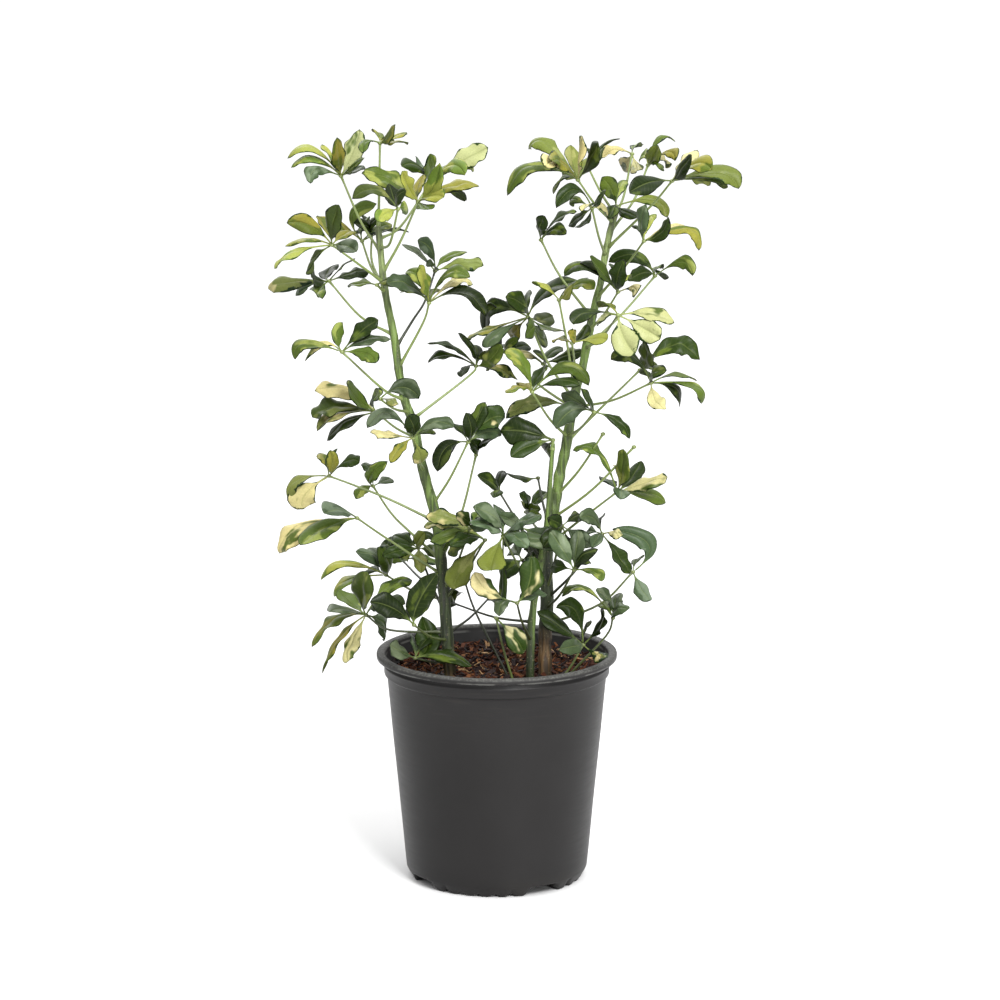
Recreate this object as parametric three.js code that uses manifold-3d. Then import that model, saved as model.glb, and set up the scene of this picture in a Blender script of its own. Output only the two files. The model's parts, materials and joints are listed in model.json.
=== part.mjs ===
// Potted umbrella plant: two woody stems and a thin one, with palmate variegated leaves, in a black
// nursery pot filled with bark mix. Millimetres, +Z up, the photograph looks along +Y.
// The pot's axis is the model's own z axis. Leaves were read off the photograph one by one, so they
// are placed by pixel and depth, on stalks that stand 0.3 mm off their stem.
import * as THREE from 'three';
import { mergeVertices } from 'three/addons/utils/BufferGeometryUtils.js';
import Module from 'manifold-3d';

const wasm = await Module();
wasm.setup();

// Pot
const POT_HEIGHT = 244;
const RIM_RADIUS = 127;
const RIM_DEPTH = 6.5;
const RIM_INNER_RADIUS = 117.4;
const COLLAR_RADIUS = 119;
const COLLAR_BOTTOM = 220;
const BODY_TOP_RADIUS = 116;
const BODY_FOOT_RADIUS = 96;
const CORNER_HEIGHT = 12;
const FOOT_RADIUS = 90;
const FOOT_RING_WIDTH = 9;
const WALL = 2.2;
const FLOOR_UNDERSIDE = 6;
const FLOOR_TOP = 9;
const POT_SIDES = 30;
const DRAIN_NOTCHES = 4;
const DRAIN_NOTCH_WIDTH = 30;
const DRAIN_NOTCH_HEIGHT = 10.5;
const FIRST_NOTCH_DEG = 32;

// Potting mix
const SOIL_GAP = 0.5;
const SOIL_TOP = 226;
const SOIL_ROUGHNESS = 2.4;
const SOIL_RINGS = [30, 58, 82, 102];

// Plant
const SEAT_GAP = 0.3;
const STEM_IN_SOIL = 70;
const STALK_IN_SOIL = 26;
const STALK_FOOT_RADIUS = 2.8;
const STALK_RADIUS = 1.8;
const STALK_SIDES = 3;
const KNOB_RADIUS = 4.6;
const BLADE_THICKNESS = 1.4;
const BLADE_WIDTH = 0.4;
const BLADE_ARCH = 0.13;
const SHORTEST_REACH = 50;
const DEPTH_SHARE = 0.8;
const STALK_SAG = 0.1;

// The photograph's view: where the eye stands, how far down it looks, its focal length in pixels.
const EYE = new THREE.Vector3(3.4, -4500, 1340);
const LOOK_DOWN = THREE.MathUtils.degToRad(11.72);
const FOCAL_PX = 4383;
const CENTRE_PX = 500;
const TO_EYE = new THREE.Vector3(0, -Math.cos(LOOK_DOWN), Math.sin(LOOK_DOWN));

// Blade turn away from the eye, in degrees, by the letter in a tip's code: w broad, n narrow.
const BLADE_TURN = { w: 14, n: 66, plain: 40 };
const BLADE_TURN_SPREAD = 16;

// Leaf colours by the first letter of a tip's code: dark, green, olive, young yellow, cream,
// variegated, and silvery where the wax shines.
const TONES = {
  d: 0x3f5a35, g: 0x5f8148, o: 0xa3a552, y: 0xc3cf78, c: 0xe3dca0, v: 0x8a9b5c, s: 0x7c8a72,
};

// Stem lines in photograph pixels from the soil up, with the depth and radius at both ends.
const STEMS = {
  left: {
    line: [[450, 677], [447, 635], [444, 590], [441, 560], [436, 518], [426, 481], [421, 461], [413, 423],
      [406, 404], [400, 378], [394, 336], [387, 302], [383, 277], [381, 255], [378, 226]],
    depth: [-45, -25], radius: [6.8, 3.4], sides: 8, colour: 0x7d7c52,
  },
  right: {
    line: [[545, 677], [545, 633], [547, 602], [547, 557], [552, 519], [556, 498], [560, 473], [565, 452],
      [570, 423], [577, 385], [583, 365], [589, 332], [596, 302], [601, 281], [605, 256], [610, 232], [616, 210]],
    depth: [-42, 0], radius: [7.3, 3.4], sides: 8, colour: 0x76714c,
  },
  middle: {
    line: [[530, 679], [531, 633], [533, 610], [536, 587], [541, 560], [546, 530], [548, 515], [550, 481],
      [552, 456], [553, 444]],
    depth: [-64, -70], radius: [4.6, 2.4], sides: 6, colour: 0x6f7f48,
  },
};

// Each leaf: the stem it grows from and its height there (a pixel row), or its pixel on the soil; the
// stalk's bends; the hub and its depth; and each leaflet's tip pixel, code and, if arched, its middle.
// Codes: a tone letter, w or n for a broad or narrow view, f or b for a tip nearer or farther.
const LEAVES = [
  { node: 'leaf_left_01', stem: 'left', foot: 252, bends: [[361, 222]], hub: [341, 176], depth: 22,
    tips: [[286, 159, 'yw', [305, 152]], [287, 167, 'y'], [312, 183, 'dn'], [322, 144, 'y'], [338, 138, 'yn'],
      [358, 129, 'vw'], [361, 158, 'y'], [364, 165, 'd']] },
  { node: 'leaf_left_02', stem: 'left', foot: 283, bends: [[357, 263]], hub: [332, 245], depth: -75,
    tips: [[287, 223, 'yw', [308, 225]], [284, 245, 'yn', [304, 238]], [274, 269, 'y', [292, 252]],
      [313, 272, 'd', [315, 256]], [354, 251, 'dw'], [338, 205, 'dw'], [318, 214, 'g'], [354, 228, 'y']] },
  { node: 'leaf_left_03', stem: 'left', foot: 281, bends: [[372, 269]], hub: [362, 241], depth: 35,
    tips: [[317, 215, 'yw'], [374, 204, 'dw', [352, 216]], [369, 217, 'o'], [392, 224, 'g'],
      [410, 232, 'dn']] },
  { node: 'leaf_left_04', stem: 'left', foot: 248, bends: [[390, 243]], hub: [398, 209], depth: -85,
    tips: [[352, 199, 'dw', [372, 191]], [393, 187, 'g'], [405, 190, 'g'], [407, 214, 'g'], [377, 222, 'y']] },
  { node: 'leaf_left_05', stem: 'left', foot: 273, bends: [], hub: [418, 202], depth: -35,
    tips: [[362, 173, 'dw'], [402, 171, 'g'], [424, 172, 'g'], [438, 164, 'yw'], [480, 187, 'ow'],
      [444, 197, 'g'], [467, 199, 'g'], [428, 209, 'g']] },
  { node: 'leaf_left_06', stem: 'left', foot: 239, bends: [[401, 226]], hub: [432, 180], depth: 42,
    tips: [[489, 148, 'yw'], [477, 171, 'c'], [463, 173, 'g'], [452, 160, 'g'], [430, 154, 'g'],
      [417, 157, 'g'], [402, 166, 'g']] },
  { node: 'leaf_left_07', stem: 'left', foot: 348, bends: [[413, 320], [425, 301]], hub: [435, 271], depth: 20,
    tips: [[402, 243, 'g'], [418, 240, 'g'], [485, 265, 'cw'], [470, 252, 'g'], [427, 266, 'd']] },
  { node: 'leaf_left_08', stem: 'left', foot: 368, bends: [[423, 323]], hub: [429, 303], depth: -60,
    tips: [[405, 270, 'g'], [388, 283, 'g'], [421, 265, 'y'], [468, 276, 'g'], [474, 285, 'g'],
      [489, 316, 'g', [464, 294]], [440, 290, 'g'], [400, 280, 'd']] },
  { node: 'leaf_left_09', stem: 'left', foot: 335, bends: [[361, 317]], hub: [329, 281], depth: 0,
    tips: [[267, 290, 'vw', [295, 281]], [302, 291, 's'], [320, 297, 'dw'], [338, 262, 'dw'],
      [369, 269, 'dw'], [354, 257, 'dn'], [312, 273, 'd']] },
  { node: 'leaf_left_10', stem: 'left', foot: 400, bends: [[384, 390]], hub: [342, 352], depth: -60,
    tips: [[295, 358, 'dw', [312, 343]], [303, 361, 'v'], [343, 322, 'd'], [378, 319, 'dw'],
      [391, 339, 'dw'], [375, 363, 'dw']] },
  { node: 'leaf_left_11', stem: 'left', foot: 438, bends: [], hub: [376, 412], depth: 10,
    tips: [[313, 398, 'c'], [347, 381, 'g'], [311, 415, 'g'], [316, 431, 'v'], [325, 440, 'd'],
      [379, 391, 'd']] },
  { node: 'leaf_left_12', stem: 'left', foot: 412, bends: [], hub: [380, 399], depth: -95,
    tips: [[421, 395, 'dw'], [393, 405, 'v'], [382, 394, 'g']] },
  { node: 'leaf_left_13', stem: 'left', foot: 470, bends: [], hub: [413, 438], depth: -100,
    tips: [[366, 428, 'gw', [384, 418]], [371, 432, 'v'], [455, 427, 'gw', [434, 424]], [421, 465, 'cw'],
      [436, 431, 'g'], [390, 463, 'o'], [409, 416, 'd']] },
  { node: 'leaf_left_14', stem: 'left', foot: 420, bends: [[469, 376]], hub: [476, 366], depth: 10,
    tips: [[427, 341, 'g'], [429, 365, 'dn'], [459, 333, 'g'], [476, 344, 'g'], [490, 345, 'o'],
      [520, 378, 'vw'], [461, 377, 'g']] },
  { node: 'leaf_left_15', stem: 'left', foot: 505, bends: [], hub: [468, 442], depth: -77,
    tips: [[448, 421, 'g'], [467, 413, 'g'], [505, 419, 'cw', [487, 413]], [437, 472, 'dw', [444, 448]],
      [503, 434, 'vw'], [482, 408, 'd']] },
  { node: 'leaf_left_16', stem: 'left', foot: 560, bends: [[461, 515]], hub: [476, 455], depth: -10,
    tips: [[488, 440, 'd'], [497, 436, 'd'], [470, 440, 'd']] },
  { node: 'leaf_left_17', stem: 'left', foot: 560, bends: [[410, 532], [391, 513]], hub: [373, 486], depth: 10,
    tips: [[356, 499, 'v', [362, 487]], [387, 462, 'dw', [366, 474]], [362, 461, 'dn'], [392, 477, 'd']] },
  { node: 'leaf_left_18', stem: 'left', foot: 575, bends: [[386, 538]], hub: [357, 518], depth: -75,
    tips: [[278, 554, 'cw', [312, 527]], [299, 547, 'o', [326, 524]], [325, 512, 's', [343, 509]]] },
  { node: 'leaf_left_19', stem: 'left', foot: 522, bends: [[391, 500], [356, 486]], hub: [329, 476], depth: -30,
    tips: [[292, 500, 'cw', [302, 477]], [304, 510, 'cw', [315, 488]], [319, 453, 'y'], [327, 447, 'o'],
      [337, 448, 'g'], [358, 461, 'd', [345, 463]]] },
  { node: 'leaf_left_20', stem: 'left', foot: 600, bends: [], hub: [386, 575], depth: 30,
    tips: [[319, 580, 'y', [343, 562]], [331, 595, 'g'], [357, 550, 's'], [372, 546, 'd'], [380, 547, 'd'],
      [362, 575, 'd']] },
  { node: 'leaf_left_21', stem: 'left', foot: 632, bends: [[390, 630]], hub: [366, 615], depth: -45,
    tips: [[338, 587, 'g'], [361, 575, 'g'], [331, 608, 'g'], [311, 647, 'g'], [321, 674, 'g'],
      [346, 661, 'c'], [413, 578, 'd'], [384, 638, 'g'], [405, 603, 'd']] },
  { node: 'leaf_left_22', stem: 'left', foot: 640, bends: [], hub: [414, 625], depth: -124,
    tips: [[438, 572, 'dw'], [370, 602, 'd'], [390, 612, 'd']] },
  { node: 'leaf_left_23', stem: 'left', foot: 662, bends: [], hub: [415, 658], depth: -60,
    tips: [[474, 664, 'gw'], [422, 616, 'dwb'], [438, 632, 'db'], [390, 645, 'd'], [413, 636, 'd']] },
  { node: 'leaf_left_24', stem: 'left', foot: 590, bends: [], hub: [402, 560], depth: 66,
    tips: [[383, 546, 'dw'], [411, 534, 'dw'], [438, 541, 'dw', [424, 535]], [388, 560, 'g'],
      [443, 566, 'g']] },
  { node: 'leaf_left_25', stem: 'left', foot: 600, bends: [], hub: [485, 540], depth: -80,
    tips: [[420, 527, 'vw', [456, 521]], [441, 550, 'gw', [462, 531]], [453, 590, 'ow', [462, 562]],
      [449, 545, 'd']] },
  { node: 'leaf_middle_01', stem: 'middle', foot: 590, bends: [], hub: [503, 536], depth: -111,
    tips: [[492, 570, 'vw'], [541, 516, 'sw', [523, 521]], [563, 545, 'sw', [535, 535]], [528, 547, 'g'],
      [511, 590, 'v'], [470, 521, 'sf'], [475, 505, 's'], [498, 505, 'sw']] },
  { node: 'leaf_middle_02', stem: 'middle', foot: 560, bends: [[514, 516]], hub: [500, 493], depth: -40,
    tips: [[477, 475, 'd'], [504, 470, 'd'], [494, 498, 'd']] },
  { node: 'leaf_middle_03', stem: 'middle', foot: 535, bends: [], hub: [526, 512], depth: -5,
    tips: [[523, 506, 'd'], [547, 490, 'd'], [540, 509, 'd'], [520, 493, 'd']] },
  { node: 'leaf_right_01', stem: 'right', foot: 222, bends: [], hub: [578, 180], depth: -45,
    tips: [[504, 195, 'vw', [540, 165]], [527, 149, 'gw', [548, 144]], [548, 165, 'c'], [572, 146, 'g'],
      [581, 138, 'c'], [588, 155, 'o'], [567, 177, 'g'], [553, 194, 'gn']] },
  { node: 'leaf_right_02', stem: 'right', foot: 214, bends: [], hub: [588, 167], depth: 35,
    tips: [[619, 137, 'dn'], [593, 157, 'c'], [600, 145, 'g'], [610, 150, 'g']] },
  { node: 'leaf_right_03', stem: 'right', foot: 218, bends: [[624, 195]], hub: [632, 154], depth: 74,
    tips: [[602, 158, 'c', [614, 149]], [630, 169, 'c'], [618, 150, 'g'], [641, 145, 'g']] },
  { node: 'leaf_right_04', stem: 'right', foot: 232, bends: [[634, 200]], hub: [648, 165], depth: 34,
    tips: [[677, 140, 'dw'], [659, 156, 'g'], [675, 161, 'g'], [669, 165, 'c'], [641, 145, 'g'],
      [663, 171, 'g']] },
  { node: 'leaf_right_05', stem: 'right', foot: 249, bends: [[651, 206]], hub: [672, 181], depth: -55,
    tips: [[741, 189, 'gw', [716, 172]], [724, 188, 'g'], [711, 168, 'g'], [633, 191, 'dw'], [688, 157, 'g'],
      [696, 147, 'c'], [678, 163, 'g']] },
  { node: 'leaf_right_06', stem: 'right', foot: 255, bends: [], hub: [592, 208], depth: -80,
    tips: [[556, 207, 'gw', [573, 196]], [574, 206, 'g'], [604, 190, 'g'], [581, 210, 'g'], [607, 214, 'c'],
      [567, 225, 'gn'], [576, 227, 'd']] },
  { node: 'leaf_right_07', stem: 'right', foot: 298, bends: [[627, 264]], hub: [644, 241], depth: -72,
    tips: [[703, 244, 'ow', [682, 231]], [684, 223, 'c'], [634, 227, 'g'], [649, 205, 'dw'], [657, 222, 'g']] },
  { node: 'leaf_right_08', stem: 'right', foot: 318, bends: [[560, 276]], hub: [541, 240], depth: 15,
    tips: [[544, 217, 'd'], [565, 234, 'd'], [577, 211, 'd']] },
  { node: 'leaf_right_09', stem: 'right', foot: 330, bends: [], hub: [618, 292], depth: -70,
    tips: [[562, 275, 'g'], [593, 256, 'g'], [576, 261, 'g'], [615, 263, 'g'], [625, 265, 'g'],
      [634, 295, 'c'], [628, 280, 'g']] },
  { node: 'leaf_right_10', stem: 'right', foot: 348, bends: [[622, 314]], hub: [653, 277], depth: 10,
    tips: [[693, 277, 'gw', [678, 262]], [608, 264, 'dw', [632, 254]], [622, 283, 'dw', [640, 273]],
      [660, 268, 'd'], [666, 279, 'd']] },
  { node: 'leaf_right_11', stem: 'right', foot: 348, bends: [], hub: [618, 315], depth: -120,
    tips: [[676, 321, 'cw'], [659, 339, 'cw'], [635, 354, 'cw'], [600, 322, 'c'], [603, 303, 'g'],
      [572, 323, 'd']] },
  { node: 'leaf_right_12', stem: 'right', foot: 395, bends: [[567, 343]], hub: [559, 300], depth: -38,
    tips: [[533, 283, 'g', [547, 286]], [594, 285, 'g', [574, 287]], [590, 277, 'g']] },
  { node: 'leaf_right_13', stem: 'right', foot: 400, bends: [[547, 361]], hub: [528, 317], depth: 5,
    tips: [[583, 279, 'dw', [555, 290]], [466, 337, 'dw', [494, 317]], [486, 306, 'd'], [503, 297, 'dw'],
      [533, 292, 'dw'], [511, 342, 'ow'], [554, 313, 'gw'], [562, 326, 'gw'], [550, 339, 'gw'],
      [529, 340, 'gw'], [488, 342, 'd']] },
  { node: 'leaf_right_14', stem: 'right', foot: 380, bends: [], hub: [572, 343], depth: -106,
    tips: [[553, 339, 'g'], [568, 332, 'g'], [587, 323, 'g'], [607, 339, 'y']] },
  { node: 'leaf_right_15', stem: 'right', foot: 437, bends: [], hub: [532, 392], depth: -92,
    tips: [[505, 350, 'ow'], [587, 384, 'gw', [561, 370]], [580, 387, 'd'], [513, 396, 'd'],
      [536, 364, 'd'], [522, 385, 'd']] },
  { node: 'stem_right', stem: 'right', foot: 372, bends: [], hub: [543, 364], depth: 42,
    tips: [[563, 345, 'd'], [583, 350, 'dw'], [533, 351, 'd'], [492, 345, 'dw'], [510, 352, 'v']] },
  { node: 'stem_right', stem: 'right', foot: 405, bends: [], hub: [565, 405], depth: -38,
    tips: [[505, 416, 'vw', [535, 405]]] },
  { node: 'leaf_right_16', stem: 'right', foot: 436, bends: [], hub: [594, 412], depth: -90,
    tips: [[561, 392, 'dw', [578, 395]], [556, 429, 'dw', [570, 413]], [630, 439, 'dw', [615, 420]],
      [590, 400, 'd']] },
  { node: 'leaf_right_17', stem: 'right', foot: 442, bends: [[598, 411]], hub: [639, 372], depth: -28,
    tips: [[701, 360, 'dw', [673, 347]], [642, 342, 'dw'], [655, 370, 'gb']] },
  { node: 'leaf_right_18', stem: 'right', foot: 407, bends: [], hub: [651, 383], depth: -95,
    tips: [[664, 408, 'c'], [683, 408, 'g'], [704, 405, 'g'], [698, 380, 'g'], [665, 370, 'g'],
      [611, 360, 'd', [630, 361]], [641, 372, 'g']] },
  { node: 'leaf_right_19', stem: 'right', foot: 545, bends: [[579, 521]], hub: [617, 492], depth: -60,
    tips: [[572, 450, 'o', [597, 457]], [622, 450, 'g'], [642, 460, 'g'], [666, 476, 'cw'], [668, 501, 'g'],
      [621, 498, 'g'], [602, 481, 'g'], [613, 465, 'g']] },
  { node: 'leaf_right_20', stem: 'right', foot: 599, bends: [], hub: [602, 534], depth: -90,
    tips: [[586, 512, 'g'], [583, 534, 'g'], [592, 547, 'g'], [617, 538, 'c'], [632, 570, 'dw', [621, 550]],
      [600, 515, 'g']] },
  { node: 'leaf_right_21', stem: 'right', foot: 625, bends: [[600, 604]], hub: [633, 572], depth: -45,
    tips: [[612, 530, 'sw', [643, 543]], [655, 593, 'sw'], [645, 602, 's']] },
  { node: 'leaf_right_22', stem: 'right', foot: 608, bends: [], hub: [574, 570], depth: -126,
    tips: [[549, 530, 'sw'], [580, 529, 'sw'], [597, 548, 'g'], [551, 566, 'gw'], [590, 560, 'g'],
      [601, 581, 'o']] },
  { node: 'leaf_right_23', soil: [570, 674], soilDepth: -42, bends: [[606, 636]], hub: [613, 618], depth: -60,
    tips: [[560, 596, 'o', [586, 597]], [597, 589, 'g'], [620, 593, 'sw'], [629, 607, 'g'],
      [598, 606, 'sw']] },
  { node: 'leaf_right_24', soil: [560, 681], soilDepth: -60, bends: [], hub: [583, 645], depth: -62,
    tips: [[537, 611, 'dw'], [592, 619, 'g'], [557, 610, 'g'], [560, 650, 's'], [599, 610, 'g'],
      [604, 656, 'vf']] },
  { node: 'leaf_right_25', stem: 'middle', foot: 640, bends: [[522, 622]], hub: [517, 603], depth: -125,
    tips: [[531, 555, 'vw'], [475, 572, 'v'], [548, 593, 's'], [499, 615, 'gn']] },
  { node: 'leaf_right_26', soil: [514, 684], soilDepth: -72, bends: [], hub: [496, 618], depth: -85,
    tips: [[527, 653, 'vw']] },
  { node: 'leaf_right_27', soil: [508, 677], soilDepth: -45, bends: [[476, 613]], hub: [464, 579], depth: -20,
    tips: [[491, 596, 'on']] },
  { node: 'stem_left', stem: 'left', foot: 229, bends: [[379, 200]], hub: [380, 143], depth: -25,
    tips: [[373, 132, 'y'], [395, 123, 'y'], [406, 130, 'y'], [408, 140, 'y'], [393, 144, 'y'],
      [365, 146, 'd']] },
  { node: 'stem_left', stem: 'left', foot: 291, bends: [], hub: [377, 285], depth: -42,
    tips: [[347, 285, 'd'], [406, 283, 'g']] },
  { node: 'stem_right', stem: 'right', foot: 214, bends: [], hub: [616, 206], depth: 0,
    tips: [[668, 218, 'gwf', [645, 200]], [637, 215, 'gf'], [609, 219, 'g'], [625, 178, 'g'], [603, 178, 'g']] },
  { node: 'stem_middle', stem: 'middle', foot: 450, bends: [], hub: [553, 440], depth: -70,
    tips: [[500, 430, 'dw', [526, 428]], [511, 457, 'dw', [527, 442]], [549, 456, 'd']] },
];

// The point at a given depth that the photograph shows at a pixel.
function fromPhoto([px, py], depth) {
  const down = LOOK_DOWN - Math.atan((CENTRE_PX - py) / FOCAL_PX);
  const away = depth - EYE.y;
  const z = EYE.z - away * Math.tan(down);
  const slant = away * Math.cos(LOOK_DOWN) + (EYE.z - z) * Math.sin(LOOK_DOWN);
  return new THREE.Vector3(EYE.x + (px - CENTRE_PX) * slant / FOCAL_PX, depth, z);
}

// A seeded chance between 0 and 1.
function chance(seed) {
  const wave = Math.sin(seed * 127.1 + 11.7) * 43758.5453;
  return wave - Math.floor(wave);
}

function across(vector, along) {
  return vector.clone().addScaledVector(along, -vector.dot(along)).normalize();
}

// A closed skin through rings of points; a ring of one point closes an end.
function loft(rings) {
  const starts = [];
  let count = 0;
  for (const ring of rings) {
    starts.push(count);
    count += ring.length;
  }
  const faces = [];
  for (let i = 0; i + 1 < rings.length; i += 1) {
    const [near, far] = [rings[i].length, rings[i + 1].length];
    const [a, b] = [starts[i], starts[i + 1]];
    for (let k = 0; k < Math.max(near, far); k += 1) {
      const next = (k + 1) % Math.max(near, far);
      if (near === 1) {
        faces.push(a, b + next, b + k);
      } else if (far === 1) {
        faces.push(b, a + k, a + next);
      } else {
        faces.push(a + k, a + next, b + next, a + k, b + next, b + k);
      }
    }
  }
  const geometry = new THREE.BufferGeometry();
  const points = rings.flat().flatMap((point) => point.toArray());
  geometry.setAttribute('position', new THREE.Float32BufferAttribute(points, 3));
  geometry.setIndex(faces);
  return geometry;
}

function solidOf(geometry) {
  const plain = geometry.clone();
  plain.deleteAttribute('normal');
  plain.deleteAttribute('uv');
  const merged = mergeVertices(plain, 1e-4);
  const mesh = new wasm.Mesh({
    numProp: 3,
    vertProperties: new Float32Array(merged.attributes.position.array),
    triVerts: new Uint32Array(merged.index.array),
  });
  return new wasm.Manifold(mesh);
}

function geometryOf(solid) {
  const { vertProperties, triVerts } = solid.getMesh();
  const geometry = new THREE.BufferGeometry();
  geometry.setAttribute('position', new THREE.Float32BufferAttribute(vertProperties, 3));
  geometry.setIndex(new THREE.Uint32BufferAttribute(triVerts, 1));
  geometry.computeVertexNormals();
  return geometry;
}

// The largest body of a solid: cutting can leave a loose scrap.
function largestBody(solid) {
  return solid.decompose().reduce((best, body) => (body.volume() > best.volume() ? body : best));
}

// A tube with flat sides through a line of points.
function tube(points, radii, sides) {
  const chord = points.at(-1).clone().sub(points[0]);
  const axes = [new THREE.Vector3(1, 0, 0), new THREE.Vector3(0, 1, 0), new THREE.Vector3(0, 0, 1)];
  const spread = (axis) => Math.abs(axis.dot(chord));
  const reference = axes.reduce((best, axis) => (spread(axis) < spread(best) ? axis : best));
  const rings = points.map((point, i) => {
    const before = points[Math.max(i - 1, 0)];
    const after = points[Math.min(i + 1, points.length - 1)];
    const along = after.clone().sub(before).normalize();
    const side = across(reference, along);
    const up = along.clone().cross(side);
    return Array.from({ length: sides }, (_, k) => {
      const angle = (2 * Math.PI * k) / sides;
      return point.clone()
        .addScaledVector(side, radii[i] * Math.cos(angle))
        .addScaledVector(up, radii[i] * Math.sin(angle));
    });
  });
  return loft([[points[0]], ...rings, [points.at(-1)]]);
}

function stemPoints({ line, depth }) {
  const seen = line.map((pixel, i) => (
    fromPhoto(pixel, THREE.MathUtils.lerp(depth[0], depth[1], i / (line.length - 1)))));
  const buried = seen[0].clone().setZ(seen[0].z - STEM_IN_SOIL);
  return [buried, ...seen];
}

function stemTube(stem, gap) {
  const points = stemPoints(stem);
  const radii = points.map((_, i) => (
    THREE.MathUtils.lerp(stem.radius[0], stem.radius[1], Math.max(i - 1, 0) / (points.length - 2)) + gap));
  points[0].z -= gap;
  return solidOf(tube(points, radii, stem.sides));
}

// The point on a stem's axis at a pixel row.
function stemPointAt(stem, row) {
  const points = stemPoints(stem).slice(1);
  const next = stem.line.findIndex(([, py]) => py <= row);
  const span = stem.line[next - 1][1] - stem.line[next][1];
  return points[next - 1].clone().lerp(points[next], (stem.line[next - 1][1] - row) / span);
}

function stalkPoints(leaf, hub) {
  const onSoil = leaf.soil && fromPhoto(leaf.soil, leaf.soilDepth);
  const foot = leaf.soil ? onSoil : stemPointAt(STEMS[leaf.stem], leaf.foot);
  const route = [foot];
  leaf.bends.forEach((pixel, i) => {
    const share = (i + 1) / (leaf.bends.length + 1);
    route.push(fromPhoto(pixel, THREE.MathUtils.lerp(foot.y, hub.y, share)));
  });
  if (leaf.bends.length === 0) {
    const middle = foot.clone().lerp(hub, 0.5);
    middle.z -= STALK_SAG * foot.distanceTo(hub);
    route.push(middle);
  }
  route.push(hub);
  const curve = new THREE.CatmullRomCurve3(route, false, 'catmullrom', 0.5);
  const points = curve.getPoints(Math.max(3, 2 * leaf.bends.length));
  if (leaf.soil) {
    points.unshift(onSoil.clone().setZ(onSoil.z - STALK_IN_SOIL));
  }
  return points;
}

function stalkTube(leaf, hub, gap) {
  const points = stalkPoints(leaf, hub);
  const radii = points.map((_, i) => (
    THREE.MathUtils.lerp(STALK_FOOT_RADIUS, STALK_RADIUS, i / (points.length - 1)) + gap));
  if (leaf.soil) {
    points[0].z -= gap;
  }
  return solidOf(tube(points, radii, STALK_SIDES));
}

// How far along a leaflet its rings lie, with the half width there as a share of the broadest.
const BROAD_BLADE = [[0.17, 0.09], [0.4, 0.8], [0.64, 1], [0.86, 0.7]];
const SLIM_BLADE = [[0.17, 0.09], [0.44, 0.86], [0.76, 0.9]];

function leafletSolid(hub, tip, seed) {
  const { middle, code } = tip;
  const chord = tip.point.clone().sub(hub);
  const length = chord.length();
  const along = chord.clone().normalize();
  const turnKey = ['w', 'n'].find((letter) => code.includes(letter)) ?? 'plain';
  const turn = THREE.MathUtils.degToRad(BLADE_TURN[turnKey] + BLADE_TURN_SPREAD * (chance(seed) - 0.5));
  const faceOn = across(TO_EYE, along);
  const edgeOn = along.clone().cross(faceOn);
  const upright = edgeOn.z + 0.2 * (chance(seed + 0.5) - 0.5) < 0 ? -1 : 1;
  const facing = faceOn.multiplyScalar(Math.cos(turn)).addScaledVector(edgeOn, upright * Math.sin(turn));
  const centre = hub.clone().lerp(tip.point, 0.5);
  const control = middle
    ? middle.clone().multiplyScalar(2).sub(centre)
    : centre.clone().addScaledVector(facing, 2 * BLADE_ARCH * length);
  const spine = new THREE.QuadraticBezierCurve3(hub, control, tip.point);
  const halfWidth = BLADE_WIDTH * length / 2;
  const outline = turnKey === 'w' ? BROAD_BLADE : SLIM_BLADE;
  const rings = outline.map(([t, share]) => {
    const point = spine.getPoint(t);
    const ahead = spine.getTangent(t);
    const up = across(facing, ahead);
    const side = up.clone().cross(ahead);
    const half = halfWidth * share;
    return [
      point.clone().addScaledVector(side, half),
      point.clone().addScaledVector(side, -half),
      point.clone().addScaledVector(up, -BLADE_THICKNESS),
    ];
  });
  const root = hub.clone().addScaledVector(spine.getTangent(0), -KNOB_RADIUS / 2);
  return solidOf(loft([[root], ...rings, [tip.point]]));
}

// Tips alternate nearer and farther round the hub, unless their code says which.
function leafTips(leaf, hub) {
  const flat = leaf.tips.map(([px, py]) => fromPhoto([px, py], leaf.depth).distanceTo(hub));
  const reach = Math.max(SHORTEST_REACH, ...flat);
  const order = leaf.tips.map((_, i) => i).sort((a, b) => angleAt(leaf, a) - angleAt(leaf, b));
  return leaf.tips.map(([px, py, code, middle], i) => {
    const length = Math.max(flat[i], 0.9 * reach);
    const depth = DEPTH_SHARE * Math.sqrt(length * length - flat[i] * flat[i]);
    const alternate = order.indexOf(i) % 2 === 0 ? -1 : 1;
    const sign = code.includes('f') ? -1 : code.includes('b') ? 1 : alternate;
    const point = fromPhoto([px, py], leaf.depth + sign * depth);
    return { point, code, middle: middle && fromPhoto(middle, leaf.depth + sign * depth / 2) };
  });
}

function angleAt(leaf, i) {
  const [px, py] = leaf.tips[i];
  return Math.atan2(leaf.hub[1] - py, px - leaf.hub[0]);
}

function leafSolid(leaf, number) {
  const hub = fromPhoto(leaf.hub, leaf.depth);
  const knob = new THREE.OctahedronGeometry(KNOB_RADIUS).translate(...hub.toArray());
  const pieces = [stalkTube(leaf, hub, 0), solidOf(knob)];
  leafTips(leaf, hub).forEach((tip, i) => pieces.push(leafletSolid(hub, tip, number * 16 + i)));
  return wasm.Manifold.union(pieces);
}

function potRadiusInside(z) {
  const share = (z - CORNER_HEIGHT) / (COLLAR_BOTTOM - CORNER_HEIGHT);
  return THREE.MathUtils.lerp(BODY_FOOT_RADIUS, BODY_TOP_RADIUS, share) - WALL;
}

function lathe(profile) {
  const points = profile.map(([radius, height]) => new THREE.Vector2(radius, height));
  return new THREE.LatheGeometry(points, POT_SIDES).rotateX(Math.PI / 2);
}

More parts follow.
